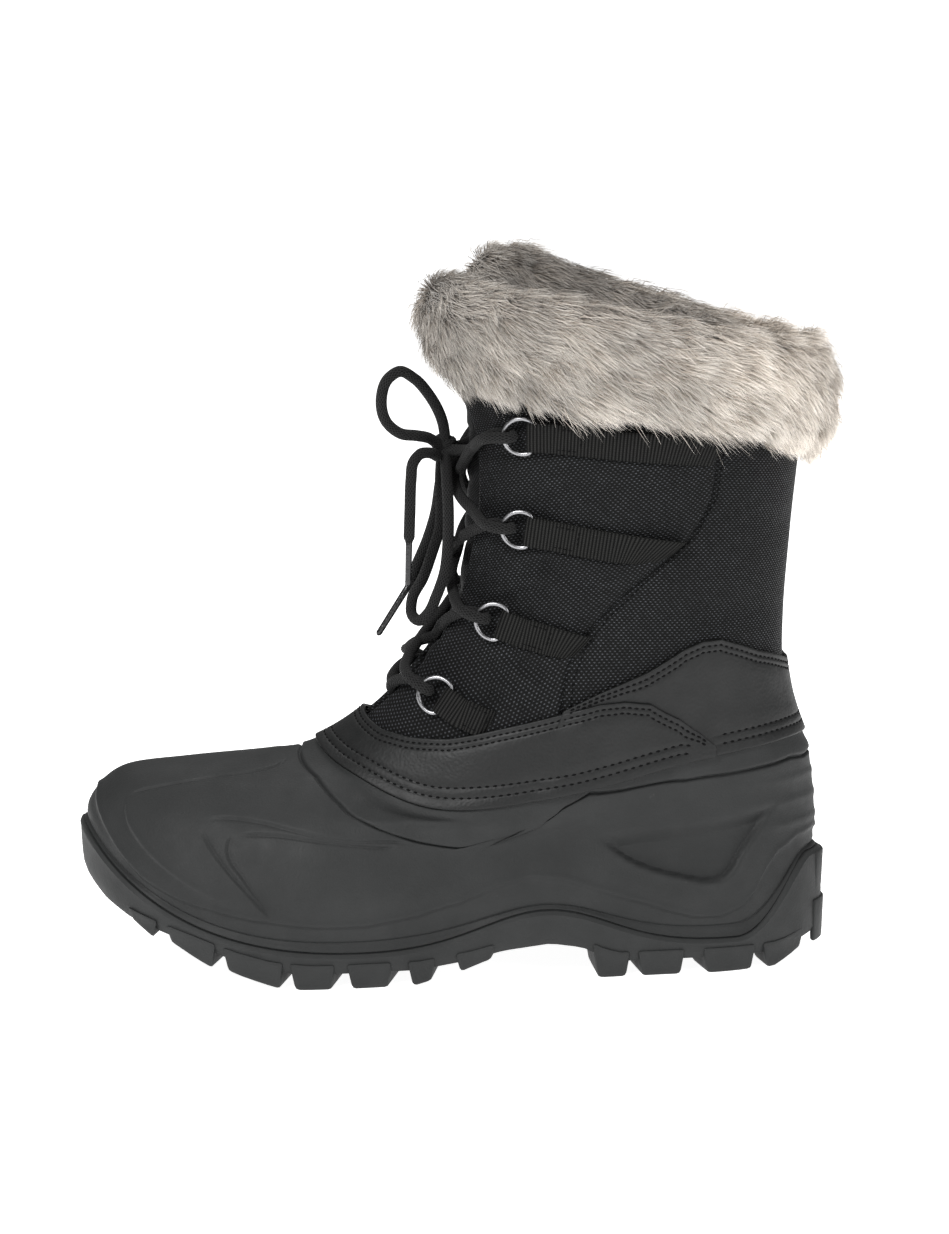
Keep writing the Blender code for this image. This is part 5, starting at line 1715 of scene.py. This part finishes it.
class Anchor:
    """The frame of a strap's folded end: its place on the skin, and the ways forward, up and out."""

    def __init__(self, number: int, side: Side) -> None:
        """Finds the strap's two ends on the skin.

        Args:
            number: The strap's place from the top down.
            side: The side of the foot.
        """
        inner = side is Side.INNER
        ends = np.array(STRAPS[number])
        self.angle, self.level = SKIN.find(ends[:, 0], ends[:, 1], inner)
        start, end = self.on(0.0, 0.0), self.on(0.02, 0.0)
        self.out = self.on(0.0, 1.0) - start
        back = end - start
        back -= self.out * (back @ self.out)
        self.forward = -unit(back)
        self.up = np.cross(self.forward, self.out) * (1 if inner else -1)
        self.length = float(np.linalg.norm(self.on(1.0, 0.0) - start))
        self.bar = start + self.out * (PLY_LOW + PLY / 2 + GAP + WIRE / 2)

    def on(self, share: float, out: float) -> Points:
        """A point along the strap's middle line, `out` millimetres off the skin."""
        angle = self.angle[0] + (self.angle[1] - self.angle[0]) * share
        level = self.level[0] + (self.level[1] - self.level[0]) * share
        return SKIN.offset(np.array([angle]), np.array([level]), np.array([out]))[0]

    def ring(self, forward: float, up: float, out: float = 0.0) -> Points:
        """A point in the plane of the ring, which tilts off the cloth."""
        tilt = radians(RING_TILT)
        ahead = self.forward * cos(tilt) + self.out * sin(tilt)
        normal = self.out * cos(tilt) - self.forward * sin(tilt)
        return self.bar + ahead * forward + self.up * up + normal * out


@dataclass
class Strap:
    """A webbing loop folded over the bar of its D-ring, with a sewn box behind the ring."""

    number: int
    side: Side
    step: float = 0.6
    box_start: float = 9.5
    box_end: float = 18.5
    box_half: float = 3.9
    box_rows: Stitching = Stitching(2.0, 1.5, 0.26, 0.3)
    slants: tuple[float, ...] = (-0.3, -0.86, -0.5, 0.0)  # how the far ends lean along the seam
    tuck: float = 2.6

    def build(self) -> list[SeamRow]:
        """The webbing and the ring.

        Returns:
            The rows of the sewn box.
        """
        anchor = Anchor(self.number, self.side)
        turn = PLY / 2 + GAP + WIRE / 2
        middle = PLY_LOW + turn
        fold = [(8.5, PLY_HIGH), (5, middle + 0.5), (2.2, middle + turn * 0.92)]
        fold += [(-turn * sin(radians(t)), middle + turn * cos(radians(t))) for t in range(0, 181, 20)]
        fold += [(8.5, PLY_LOW)]
        far = np.linspace(anchor.length, 12, max(2, round((anchor.length - 12) / 3) + 1))
        line = [(s, PLY_HIGH) for s in far] + fold + [(s, PLY_LOW) for s in far[::-1]]
        path = []
        for s, out in line:
            out -= (out + 0.5) * ease((s - anchor.length + self.tuck) / self.tuck)
            on_cloth = anchor.on(s / anchor.length, out)
            off_bar = anchor.bar + anchor.out * (out - middle) - anchor.forward * s
            share = ease((s - 8.4) / 3)
            path.append(on_cloth * share + off_bar * (1 - share))
        path = rounded(path, self.step)
        ahead = unit(np.gradient(path, axis=0))
        up = np.tile(anchor.up, (len(path), 1))
        up = unit(up - ahead * (up * ahead).sum(-1, keepdims=True))
        out = np.cross(ahead, up)
        across = np.linspace(-1, 1, 9)
        top = [(w * STRAP_WIDTH / 2, PLY / 2 - 0.18 * abs(w) ** 6) for w in across]
        edge = STRAP_WIDTH / 2 + 0.12
        ring = top + [(edge, 0)] + [(w, -h) for w, h in top[::-1]] + [(-edge, 0)]
        ring = np.array(ring + ring[:1])
        points = path[:, None] + up[:, None] * ring[None, :, :1] + out[:, None] * ring[None, :, 1:]
        from_bar = np.linalg.norm(path - anchor.bar, axis=1)
        lean = self.slants[self.number] * ease((from_bar - anchor.length * 0.55) / (anchor.length * 0.42))
        points -= anchor.forward * (ring[None, :, :1] * lean[:, None, None])
        ends = np.repeat(path[[0, -1], None], len(ring), 1)
        points = np.concatenate([ends[:1], points, ends[1:]])
        chart = np.empty((*points.shape[:2], 2))
        length = run_length(path)
        chart[..., 0] = np.concatenate([[0], length, length[-1:]])[:, None]
        chart[..., 1] = ring[None, :, 0]
        name = f"strap_{self.side.value}_{self.number + 1}"
        piece = laid_grid("webbing_" + name, points, chart, around=True)
        face_out(piece)
        dressed(piece, WEBBING, name)
        self.ring(anchor)
        return self.box(anchor)

    def ring(self, anchor: Anchor) -> None:
        """The D-ring: a straight bar inside the fold and a round arc in front."""
        arc = RING_REACH - RING_HALF
        drops = ((0, 2.2), (0.3, 1.3), (1.0, 0.55), (2.0, 0.15))
        corner = [(forward, RING_HALF - drop) for forward, drop in drops]
        half = [(0, 0), (0, RING_HALF * 0.5)] + corner + [(arc * 0.8, RING_HALF)]
        bend = [(arc + RING_HALF * sin(radians(t)), RING_HALF * cos(radians(t))) for t in range(0, 181, 9)]
        path = half + bend + [(forward, -up) for forward, up in half[:0:-1]]
        path = np.array([anchor.ring(*point) for point in path])
        name = f"ring_{self.side.value}_{self.number + 1}"
        piece = swept("d_" + name, path, WIRE / 2, 14, closed=True)
        dressed(piece, STEEL, name)

    def box(self, anchor: Anchor) -> list[SeamRow]:
        """The outline of the sewn box behind the ring."""
        start, end, half = self.box_start, self.box_end, self.box_half
        corners = (
            ((start, half), (end, half)), ((start, -half), (end, -half)),
            ((start, -half), (start, half)), ((end, -half), (end, half)),
        )
        rows = []
        for (s0, w0), (s1, w1) in corners:
            route = []
            for share in np.linspace(0, 1, 12):
                s, w = s0 + (s1 - s0) * share, w0 + (w1 - w0) * share
                route.append(anchor.on(s / anchor.length, PLY_HIGH + PLY / 2) + anchor.up * w)
            rows.append((self.box_rows, np.array(route), np.tile(anchor.out, (12, 1)), 0.0, 0.0))
        return rows


@dataclass
class Lace:
    """One round braided lace: laced criss-cross through the rings and tied in a bow at the top."""

    step: float = 0.8
    around: int = 24
    ribs: int = 12
    rib_height: float = 0.09
    loop_high: tuple[tuple[float, float, float], ...] = (
        (-6, -3.5, 199), (-7.4, -7, 210), (-12.4, -12, 220.8), (-17.6, -16, 227.2), (-23, -19, 230.2),
        (-27.4, -20, 227.4), (-29.9, -20, 220.3), (-28.2, -18, 211), (-23, -16, 206.3), (-17, -13, 205),
        (-11.8, -8, 203), (-8, -4, 199),
    )
    loop_hanging: tuple[tuple[float, float, float], ...] = (
        (-6.4, -5, 196.5), (-6, -14.5, 188.5), (-5.6, -19, 176.4), (-6, -21, 165.2), (-7.6, -22, 153.5),
        (-10.8, -22, 144.8), (-14, -20, 138.1), (-17.6, -18, 134.9), (-20.2, -15, 136.6), (-20.1, -13, 142.4),
        (-15.8, -12, 150.3), (-12.2, -11, 159.7), (-9, -10, 169.8), (-8.5, -8, 178.5), (-8.5, -5, 187),
        (-8, -2.5, 194.5),
    )
    end_high: tuple[tuple[float, float, float], ...] = (
        (-9.6, -8.6, 196.5), (-12.4, -14, 198.5), (-15.8, -18, 198.6), (-18.5, -21, 195.7),
        (-19.4, -23, 189.5), (-20, -25, 178.4), (-20.6, -26, 166.8),
    )
    end_low: tuple[tuple[float, float, float], ...] = (
        (-7.4, 1.2, 192.3), (-8.8, 3.6, 184), (-10.6, 4, 173.3), (-14.2, 3, 162.3), (-18.5, 1.5, 152.8),
        (-21.4, 0, 145.6),
    )
    aglets: tuple[tuple[tuple[float, float, float], ...], ...] = (
        ((-20.6, -26, 166.4), (-21.3, -26, 150.4)), ((-21.6, 0, 145.25), (-33.3, -2, 127.5)),
    )

    def braid(self, name: str, path: Points, radius: Points | float = LACE / 2) -> bpy.types.Object:
        """A stretch of the lace along a path."""
        return swept(name, path, radius, self.around, self.ribs, self.rib_height)

    def through(self, number: int, side: Side) -> list[Points]:
        """The lace's way through a ring: over the arc, down into the ring, and out under the arc."""
        anchor = Anchor(number, side)
        reach = WIRE / 2 + LACE / 2 + LACE_GAP
        return [anchor.ring(RING_REACH + 2.0, 0, reach), anchor.ring(RING_REACH - 1.4, 0, reach * 0.94),
                anchor.ring(RING_REACH - reach, 0, 0), anchor.ring(RING_REACH - 1.4, 0, -reach * 0.94),
                anchor.ring(RING_REACH + 2.0, 0, -reach)]

    def across(self, start: Points, end: Points, out: float, lean: float = 0.0) -> list[Points]:
        """The lace's way over the tongue, between its points at two rings on opposite sides."""
        places = []
        for point in (start, end):
            angle, level = SKIN.find(point[0], point[2], point[1] > 0)
            places.append((float(angle) - (360 if angle > 180 else 0), float(level)))
        (start_angle, start_level), (end_angle, end_level) = places
        points = []
        for share in (0.13, 0.28, 0.5, 0.72, 0.87):
            angle = start_angle + (end_angle - start_angle) * share
            level = start_level + (end_level - start_level) * share + lean * sin(pi * share)
            over = float(Tongue().out(level)) + out
            rise = over if share == 0.5 else (3.8 if share in (0.13, 0.87) else max(over, 1.8))
            points.append(SKIN.offset(np.array([angle % 360]), np.array([level]), np.array([rise]))[0])
        return points

    def crossings(self) -> None:
        """The lace from the knot down through the rings and back."""
        last = len(STRAPS) - 1
        sides = (Side.OUTER, Side.INNER)
        halves = []
        for first, out in ((0, CROSSING_LOW), (1, CROSSING_HIGH)):
            point = np.array(KNOT) + (6.5, -7.6 if first == 0 else 7.4, 0.4)
            path = [np.array(KNOT) + (0, -2.0 if first == 0 else 2.0, 0), point]
            for number in range(last + 1):
                ring = self.through(number, sides[(first + number) % 2])
                if number:
                    path += self.across(path[-1], ring[0], out, FIRST_LEAN if number == 1 else 0.0)
                path += ring
            halves.append(path)
        long, short = halves
        bar = self.across(long[-1], short[-1], CROSSING_LOW, -0.25)
        whole = long + bar + short[::-1]
        piece = self.braid("lace_through_rings", rounded(whole, self.step))
        dressed(piece, LACE_YARN, "lace_crossings")

    def knot(self) -> None:
        """The knot: a core with the lace wrapped round it."""
        centre = np.array(KNOT)
        axis = unit(np.array([-0.35, -0.25, 0.9]))
        side = unit(np.cross(axis, (0.0, 1.0, 0.0)))
        front = np.cross(side, axis)
        turns = np.linspace(-0.9 * pi, 1.35 * pi, 40)
        wrap = centre + (side * np.cos(turns)[:, None] + front * np.sin(turns)[:, None]) * 3.5
        wrap += axis * np.linspace(-2.4, 2.6, 40)[:, None]
        core = centre + axis * np.linspace(-4.2, 4.2, 12)[:, None]
        pieces = [self.braid("wrap", rounded(wrap, self.step), 2.0), self.braid("core", core, 2.6)]
        dressed(merged("lace_knot", pieces), LACE_YARN, "lace_bow")

    def loops(self) -> None:
        """The standing loop and the hanging loop."""
        for name, line in (("lace_loop_high", self.loop_high), ("lace_loop_hanging", self.loop_hanging)):
            path = rounded(line, self.step)
            piece = dressed(self.braid(name, path), LACE_YARN, "lace_bow")
            float(run_length(path)[-1]) * MM

    def ends(self) -> None:
        """The two free ends, each in its aglet."""
        for number, line in enumerate((self.end_high, self.end_low), 1):
            start, end = np.array(self.aglets[number - 1], float)
            share = np.linspace(0, 1, 14)
            radius = AGLET / 2 * (1 - 0.1 * share) * np.where(share < 0.05, 0.94, 1)
            film = swept(f"film_aglet_{number}", start + (end - start) * share[:, None], radius, 16)
            dressed(film, FILM, f"aglet_{number}")
            path = rounded(line, self.step)
            path = np.concatenate([path, [start + (end - start) * 0.04]])
            left = run_length(path)[-1] - run_length(path)
            radius = LACE / 2 - (LACE / 2 - AGLET / 2 * 0.86) * ease((2.6 - left) / 2.6)
            yarn = self.braid(f"lace_free_end_{number}", path, radius)
            piece = dressed(yarn, LACE_YARN, f"lace_end_{number}")
            float(run_length(path)[-1]) * MM

    def build(self) -> None:
        """The whole lace."""
        self.knot()
        self.loops()
        self.ends()
        self.crossings()


# ---------------------------------------------------------------- fur
@dataclass
class FurCollar:
    """The fur roll over the top of the leg: a ground roll with locks of guard hair."""

    outer: float = 9.0
    inner: float = 38.0
    outside: float = 13.0
    thin: float = 4.0  # how much less of it there is at the front end
    rise: tuple[tuple[float, float], ...] = (
        # angle, and how far the ground's top stands over the leg: the far side has a tuft at its front end
        (9, 5.0), (18, 4.2), (34, 2.1), (90, 1.7), (150, 1.2), (180, 0.4), (231, 0.7), (253, 1.9), (273, 4.0),
        (287, 8.0), (302, 12.0), (322, 12.0),
    )
    inside: float = 5.0
    hairs: int = 132000
    pieces: int = 4
    locks: int = 800
    tufts: int = 9000
    patches: int = 110
    seed: int = 7
    length: tuple[float, float] = (9.0, 19.0)
    thick: float = 0.15  # half the width of a hair at its root, with its neighbours drawn as one
    whorl: tuple[float, float] = (17.0, 0.5)

    def ground(self, angle: Points, share: Points) -> Points:
        """The ground of the fur.

        Args:
            angle: Angles round the collar.
            share: 0 at the lower edge outside, about 0.55 on top, 1 at the lower edge inside.

        Returns:
            Points, of the shape of the two arrays.
        """
        angle, share = np.broadcast_arrays(np.asarray(angle, float), np.asarray(share, float))
        shape = angle.shape
        angle, share = angle.ravel(), share.ravel()
        half = np.minimum(angle, 360 - angle)
        low = 11.3 - 0.42 * ease((half - 10) / 30) - 0.72 * ease((half - 105) / 65)
        depth = self.outside - self.thin * ease((30 - half) / 18)
        top = depth * (0.42 - 0.12 * ease((half - 125) / 45))
        lift = smooth(*np.array(self.rise, float).T, angle)
        wall = -UPPER_WALL - 0.6
        table = (
            (0.22, 0.8, 0), (0.18, depth * 0.3, 0), (0.38, depth * 0.52, 0), (0.75, depth * 0.56, 0),
            (1, top, lift * 0.24), (1, 2.0 * top / depth / 0.42, lift), (1, wall, lift),
            (1, wall - self.inside * 0.6, lift * 0.24), (0.72, wall - self.inside * 0.6, 0), (0.62, wall, 0),
        )
        knots = []
        for level_share, out, up in table:
            row = SKIN.offset(angle, low + (12 - low) * level_share, np.broadcast_to(out, angle.shape))
            row[:, 2] += up
            knots.append(row)
        knots = np.array(knots)
        count = len(table)
        at = share * (count - 1)
        span = np.clip(at.astype(int), 0, count - 2)
        slopes = np.gradient(knots, axis=0)
        index = np.arange(len(angle))
        local = (at - span)[:, None]
        start, end = knots[span, index], knots[span + 1, index]
        points = cubic(start, slopes[span, index], end, slopes[span + 1, index], local)
        near = np.clip(np.minimum(angle - self.outer, 360 - self.inner - angle) / 9.0, 0, 1)
        round_end = np.sqrt(np.clip(1 - (1 - near) ** 2, 0, 1))[:, None]
        core = knots[[0, 2, 3, 5, 7, 9]].mean(0)
        return (core + (points - core) * round_end).reshape(*shape, 3)

    def build(self) -> None:
        """The ground roll and the hair."""
        ends = (self.outer + 0.02, 360 - self.inner - 0.02)
        angle = np.linspace(*ends, 260)[None]
        share = np.linspace(0, 1, 60)[:, None]
        roll = laid_grid("fur_ground", self.ground(angle, share)[::-1], around=True, poles=True)
        dressed(roll, FUR_GROUND, "fur_collar")
        self.hair(ends)

    def hair(self, ends: tuple[float, float]) -> None:
        """Tapered hairs, drawn together in locks that lie toward the heel and down."""
        random = np.random.default_rng(self.seed)
        rows, columns = 420, 110
        angle, share = np.linspace(*ends, rows), np.linspace(0, 1, columns)
        grid = self.ground(angle[:, None], share[None])
        cross = np.cross(np.gradient(grid, axis=0), np.gradient(grid, axis=1))
        area = np.linalg.norm(cross, axis=-1) * (0.1 + 0.9 * ease((0.84 - share) / 0.14))
        area[-1], area[:, -1] = 0, 0
        cell = random.choice(area.size, self.hairs, p=area.ravel() / area.sum())
        row, column = cell // columns, cell % columns
        over, along = random.random((2, self.hairs, 1))

        def spread(field_values: Points) -> Points:
            """The grid's values at the hairs' places inside their cells."""
            start = field_values[row, column] * (1 - over) + field_values[row + 1, column] * over
            end = field_values[row, column + 1] * (1 - over) + field_values[row + 1, column + 1] * over
            return start * (1 - along) + end * along

        root, normal = spread(grid), unit(spread(unit(cross)))
        s = share[column] + along[:, 0] / (columns - 1)
        flow = self.flow(root, normal, s)
        lock, twist = self.locked(random, root, self.locks)
        tuft, sway = self.locked(random, root, self.tufts)
        flow = unit(flow + np.cross(normal, flow) * (twist[lock] + 0.6 * sway[tuft])[:, None])
        length = random.uniform(*self.length, self.hairs) * (0.75 + 0.5 * random.random(self.locks)[lock])
        length *= 0.82 + 0.36 * random.random(self.tufts)[tuft]
        half = np.minimum(angle[row], 360 - angle[row])
        length *= 1 - 0.35 * ease((s - 0.48) / 0.2)
        length *= 1 - 0.25 * ease((34 - half) / 18) - 0.1 * ease((half - 120) / 45)
        length *= 1 - 0.35 * ease((0.3 - s) / 0.2) * ease((75 - half) / 30)
        stray = random.normal(0, 0.2, (self.hairs, 3))
        first = unit(normal * 0.75 + flow * 0.8 + stray)
        second = unit(normal * 0.2 + flow + stray * 0.8 - np.array((0, 0, 0.12)))
        middle = root + first * (length * 0.45)[:, None]
        tip = middle + second * (length * 0.55)[:, None]
        for group, count, most in ((lock, self.locks, 0.4), (tuft, self.tufts, 0.85)):
            centre = np.stack([np.bincount(group, tip[:, axis], count) for axis in range(3)], 1)
            centre /= np.maximum(np.bincount(group, minlength=count), 1)[:, None]
            tip = tip + (centre[group] - tip) * random.uniform(0.0, most, self.hairs)[:, None]
        patch, _ = self.locked(random, root * (0.55, 1, 1) + flow * 2, self.patches)
        shade = 0.3 * random.random(self.patches)[patch] + 0.15 * random.random(self.locks)[lock]
        shade += 0.35 * random.random(self.tufts)[tuft] + 0.2 * random.random(self.hairs)
        # painted light: the hairs are lightened toward the heel, where the lamps leave the collar in shade,
        # and made a little darker at the front end
        shade += 0.45 * ease((root[:, 0] - 50) / 75) - 0.1 * ease((20 - root[:, 0]) / 30)
        # painted shade: the hairs inside the collar, past its top, are darkened as if in its shadow
        shade -= 0.3 * ease((s - 0.56) / 0.12)
        self.strands(random, root - normal * 0.6, middle, tip, normal, shade)

    def flow(self, root: Points, normal: Points, share: Points) -> Points:
        """The way the fur lies: toward the heel and down, and away from the whorl at the front."""
        along = np.array((1.0, 0.0, 0.0)) - normal * normal[:, :1]
        down = -np.array((0.0, 0.0, 1.0)) + normal * normal[:, 2:]
        hang = 0.45 + 0.9 * ease((0.22 - share) / 0.2) + 0.5 * ease((root[:, 0] - 95) / 35)
        flow = along * 0.9 + down * hang[:, None]
        centre = self.ground(np.array([self.whorl[0]]), np.array([self.whorl[1]]))[0]
        away = root - centre
        close = bell(np.linalg.norm(away, axis=1), 20.0)[:, None]
        return unit(flow * (1 - close) + unit(away) * close * 1.2)

    def locked(self, random: np.random.Generator, root: Points, groups: int) -> tuple[Points, Points]:
        """The group that each hair belongs to, and how each group is turned.

        Args:
            random: The source of the groups.
            root: Where the hairs start.
            groups: How many groups there are.

        Returns:
            A group for each hair, and a turn for each group.
        """
        heart = root[random.choice(len(root), groups, replace=False)]
        tree = KDTree(groups)
        for number, point in enumerate(heart):
            tree.insert(point, number)
        tree.balance()
        jitter = root + random.normal(0, 0.9, root.shape)
        lock = np.array([tree.find(point)[1] for point in jitter])
        return lock, random.normal(0, 0.3, groups)

    def strands(
        self,
        random: np.random.Generator,
        root: Points,
        middle: Points,
        tip: Points,
        normal: Points,
        shade: Points,
    ) -> None:
        """The hairs as joined meshes of slim blades, turned roughly outwards.

        Args:
            random: The source of the turns.
            root: Where each hair starts.
            middle: Where it bends.
            tip: Where it ends.
            normal: The way out of the fur at its root.
            shade: How light it is, from 0 to 1.
        """
        ahead = unit(tip - root)
        tilted = unit(normal + random.normal(0, 0.45, normal.shape))
        side = unit(np.cross(tilted, ahead)) * self.thick
        corners = np.stack([root - side, root + side, middle - side * 0.85, middle + side * 0.85, tip], 1)
        faces = np.array([(0, 1, 3), (0, 3, 2), (2, 3, 4)])
        chart = np.empty((len(root), 5, 2))
        chart[..., 0] = shade[:, None]
        chart[..., 1] = (0, 0, 0.5, 0.5, 1)
        each = len(root) // self.pieces
        for number in range(self.pieces):
            part = slice(number * each, (number + 1) * each)
            dressed(many(f"fur_hair_{number + 1}", corners[part], faces, chart[part]), FUR)


# ---------------------------------------------------------------- studio
@dataclass
class Studio:
    """A white floor, soft lights and the camera."""

    distance: float = 1.6
    elevation: float = 10.0
    roll: float = 1.1
    target: tuple[float, float, float] = (0.0078, 0.0, 0.1327)
    lens: float = 121.56

    def build(self) -> None:
        """Everything round the boot."""
        self.floor()
        self.lights()
        self.camera()

    def floor(self) -> None:
        """A wide sheet of white paper."""
        clear_selection()
        bpy.ops.mesh.primitive_circle_add(vertices=96, radius=40, fill_type="NGON", location=(0, 0, 0))
        floor = bpy.context.object
        floor.name = "studio_floor"
        floor.data.materials.append(PAPER.material())
        floor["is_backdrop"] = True

    def light(self, name: str, place: Sequence[float], size: tuple[float, float], power: float) -> None:
        """A softbox turned to the boot."""
        data = bpy.data.lights.new(name, "AREA")
        data.shape, data.size, data.size_y, data.energy = "RECTANGLE", *size, power
        lamp = bpy.data.objects.new(name, data)
        bpy.context.scene.collection.objects.link(lamp)
        lamp.location = place
        lamp.rotation_mode = "QUATERNION"
        aim = Vector((0.0, 0.0, 0.12)) - Vector(place)
        lamp.rotation_quaternion = aim.to_track_quat("-Z", "Y")

    def lights(self) -> None:
        """A large overhead softbox, one on each side, and white surroundings."""
        self.light("softbox_key", (-0.9, -1.5, 1.5), (0.7, 0.7), 42)
        self.light("softbox_fill", (1.6, -1.3, 0.9), (0.7, 0.9), 12)
        self.light("softbox_top", (0.2, 0.5, 1.6), (1.2, 0.8), 14)
        world = bpy.data.worlds.new("white_studio")
        world.use_nodes = True
        background = world.node_tree.nodes["Background"]
        background.inputs["Color"].default_value = (1, 1, 1, 1)
        background.inputs["Strength"].default_value = 0.26
        bpy.context.scene.world = world
        bpy.context.scene.view_settings.view_transform = "Standard"

    def camera(self) -> None:
        """The camera, a little above the boot and square to its outer side."""
        data = bpy.data.cameras.new("camera")
        data.lens, data.sensor_width, data.clip_end = self.lens, 36, 100
        camera = bpy.data.objects.new("camera", data)
        bpy.context.scene.collection.objects.link(camera)
        rise, roll = radians(self.elevation), radians(self.roll)
        back = Vector((0, -cos(rise), sin(rise)))
        right = Vector((1, 0, 0))
        up = back.cross(right)
        turned_right = right * cos(roll) - up * sin(roll)
        turned_up = right * sin(roll) + up * cos(roll)
        matrix = Matrix((turned_right, turned_up, back)).transposed().to_4x4()
        matrix.translation = Vector(self.target) + back * self.distance
        camera.matrix_world = matrix
        bpy.context.scene.camera = camera


def main() -> None:
    """Builds the boot and the studio, and measures the size of both models."""
    logging.basicConfig(level=logging.INFO, format="%(name)s: %(message)s")
    Studio().build()
    Lace().build()
    Shell().build()
    Outsole().build()
    Insole().build()
    Leather().build()
    Leg().build()
    Tongue().build()
    boxes = []
    for side in Side:
        for number in range(len(STRAPS)):
            boxes += Strap(number, side).build()
    sewn("strap_stitches", boxes, TAPE_THREAD)
    FurCollar().build()
    boxes = {"cad": CAD_BOX, "visual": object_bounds()}


if __name__ == "__main__":
    main()
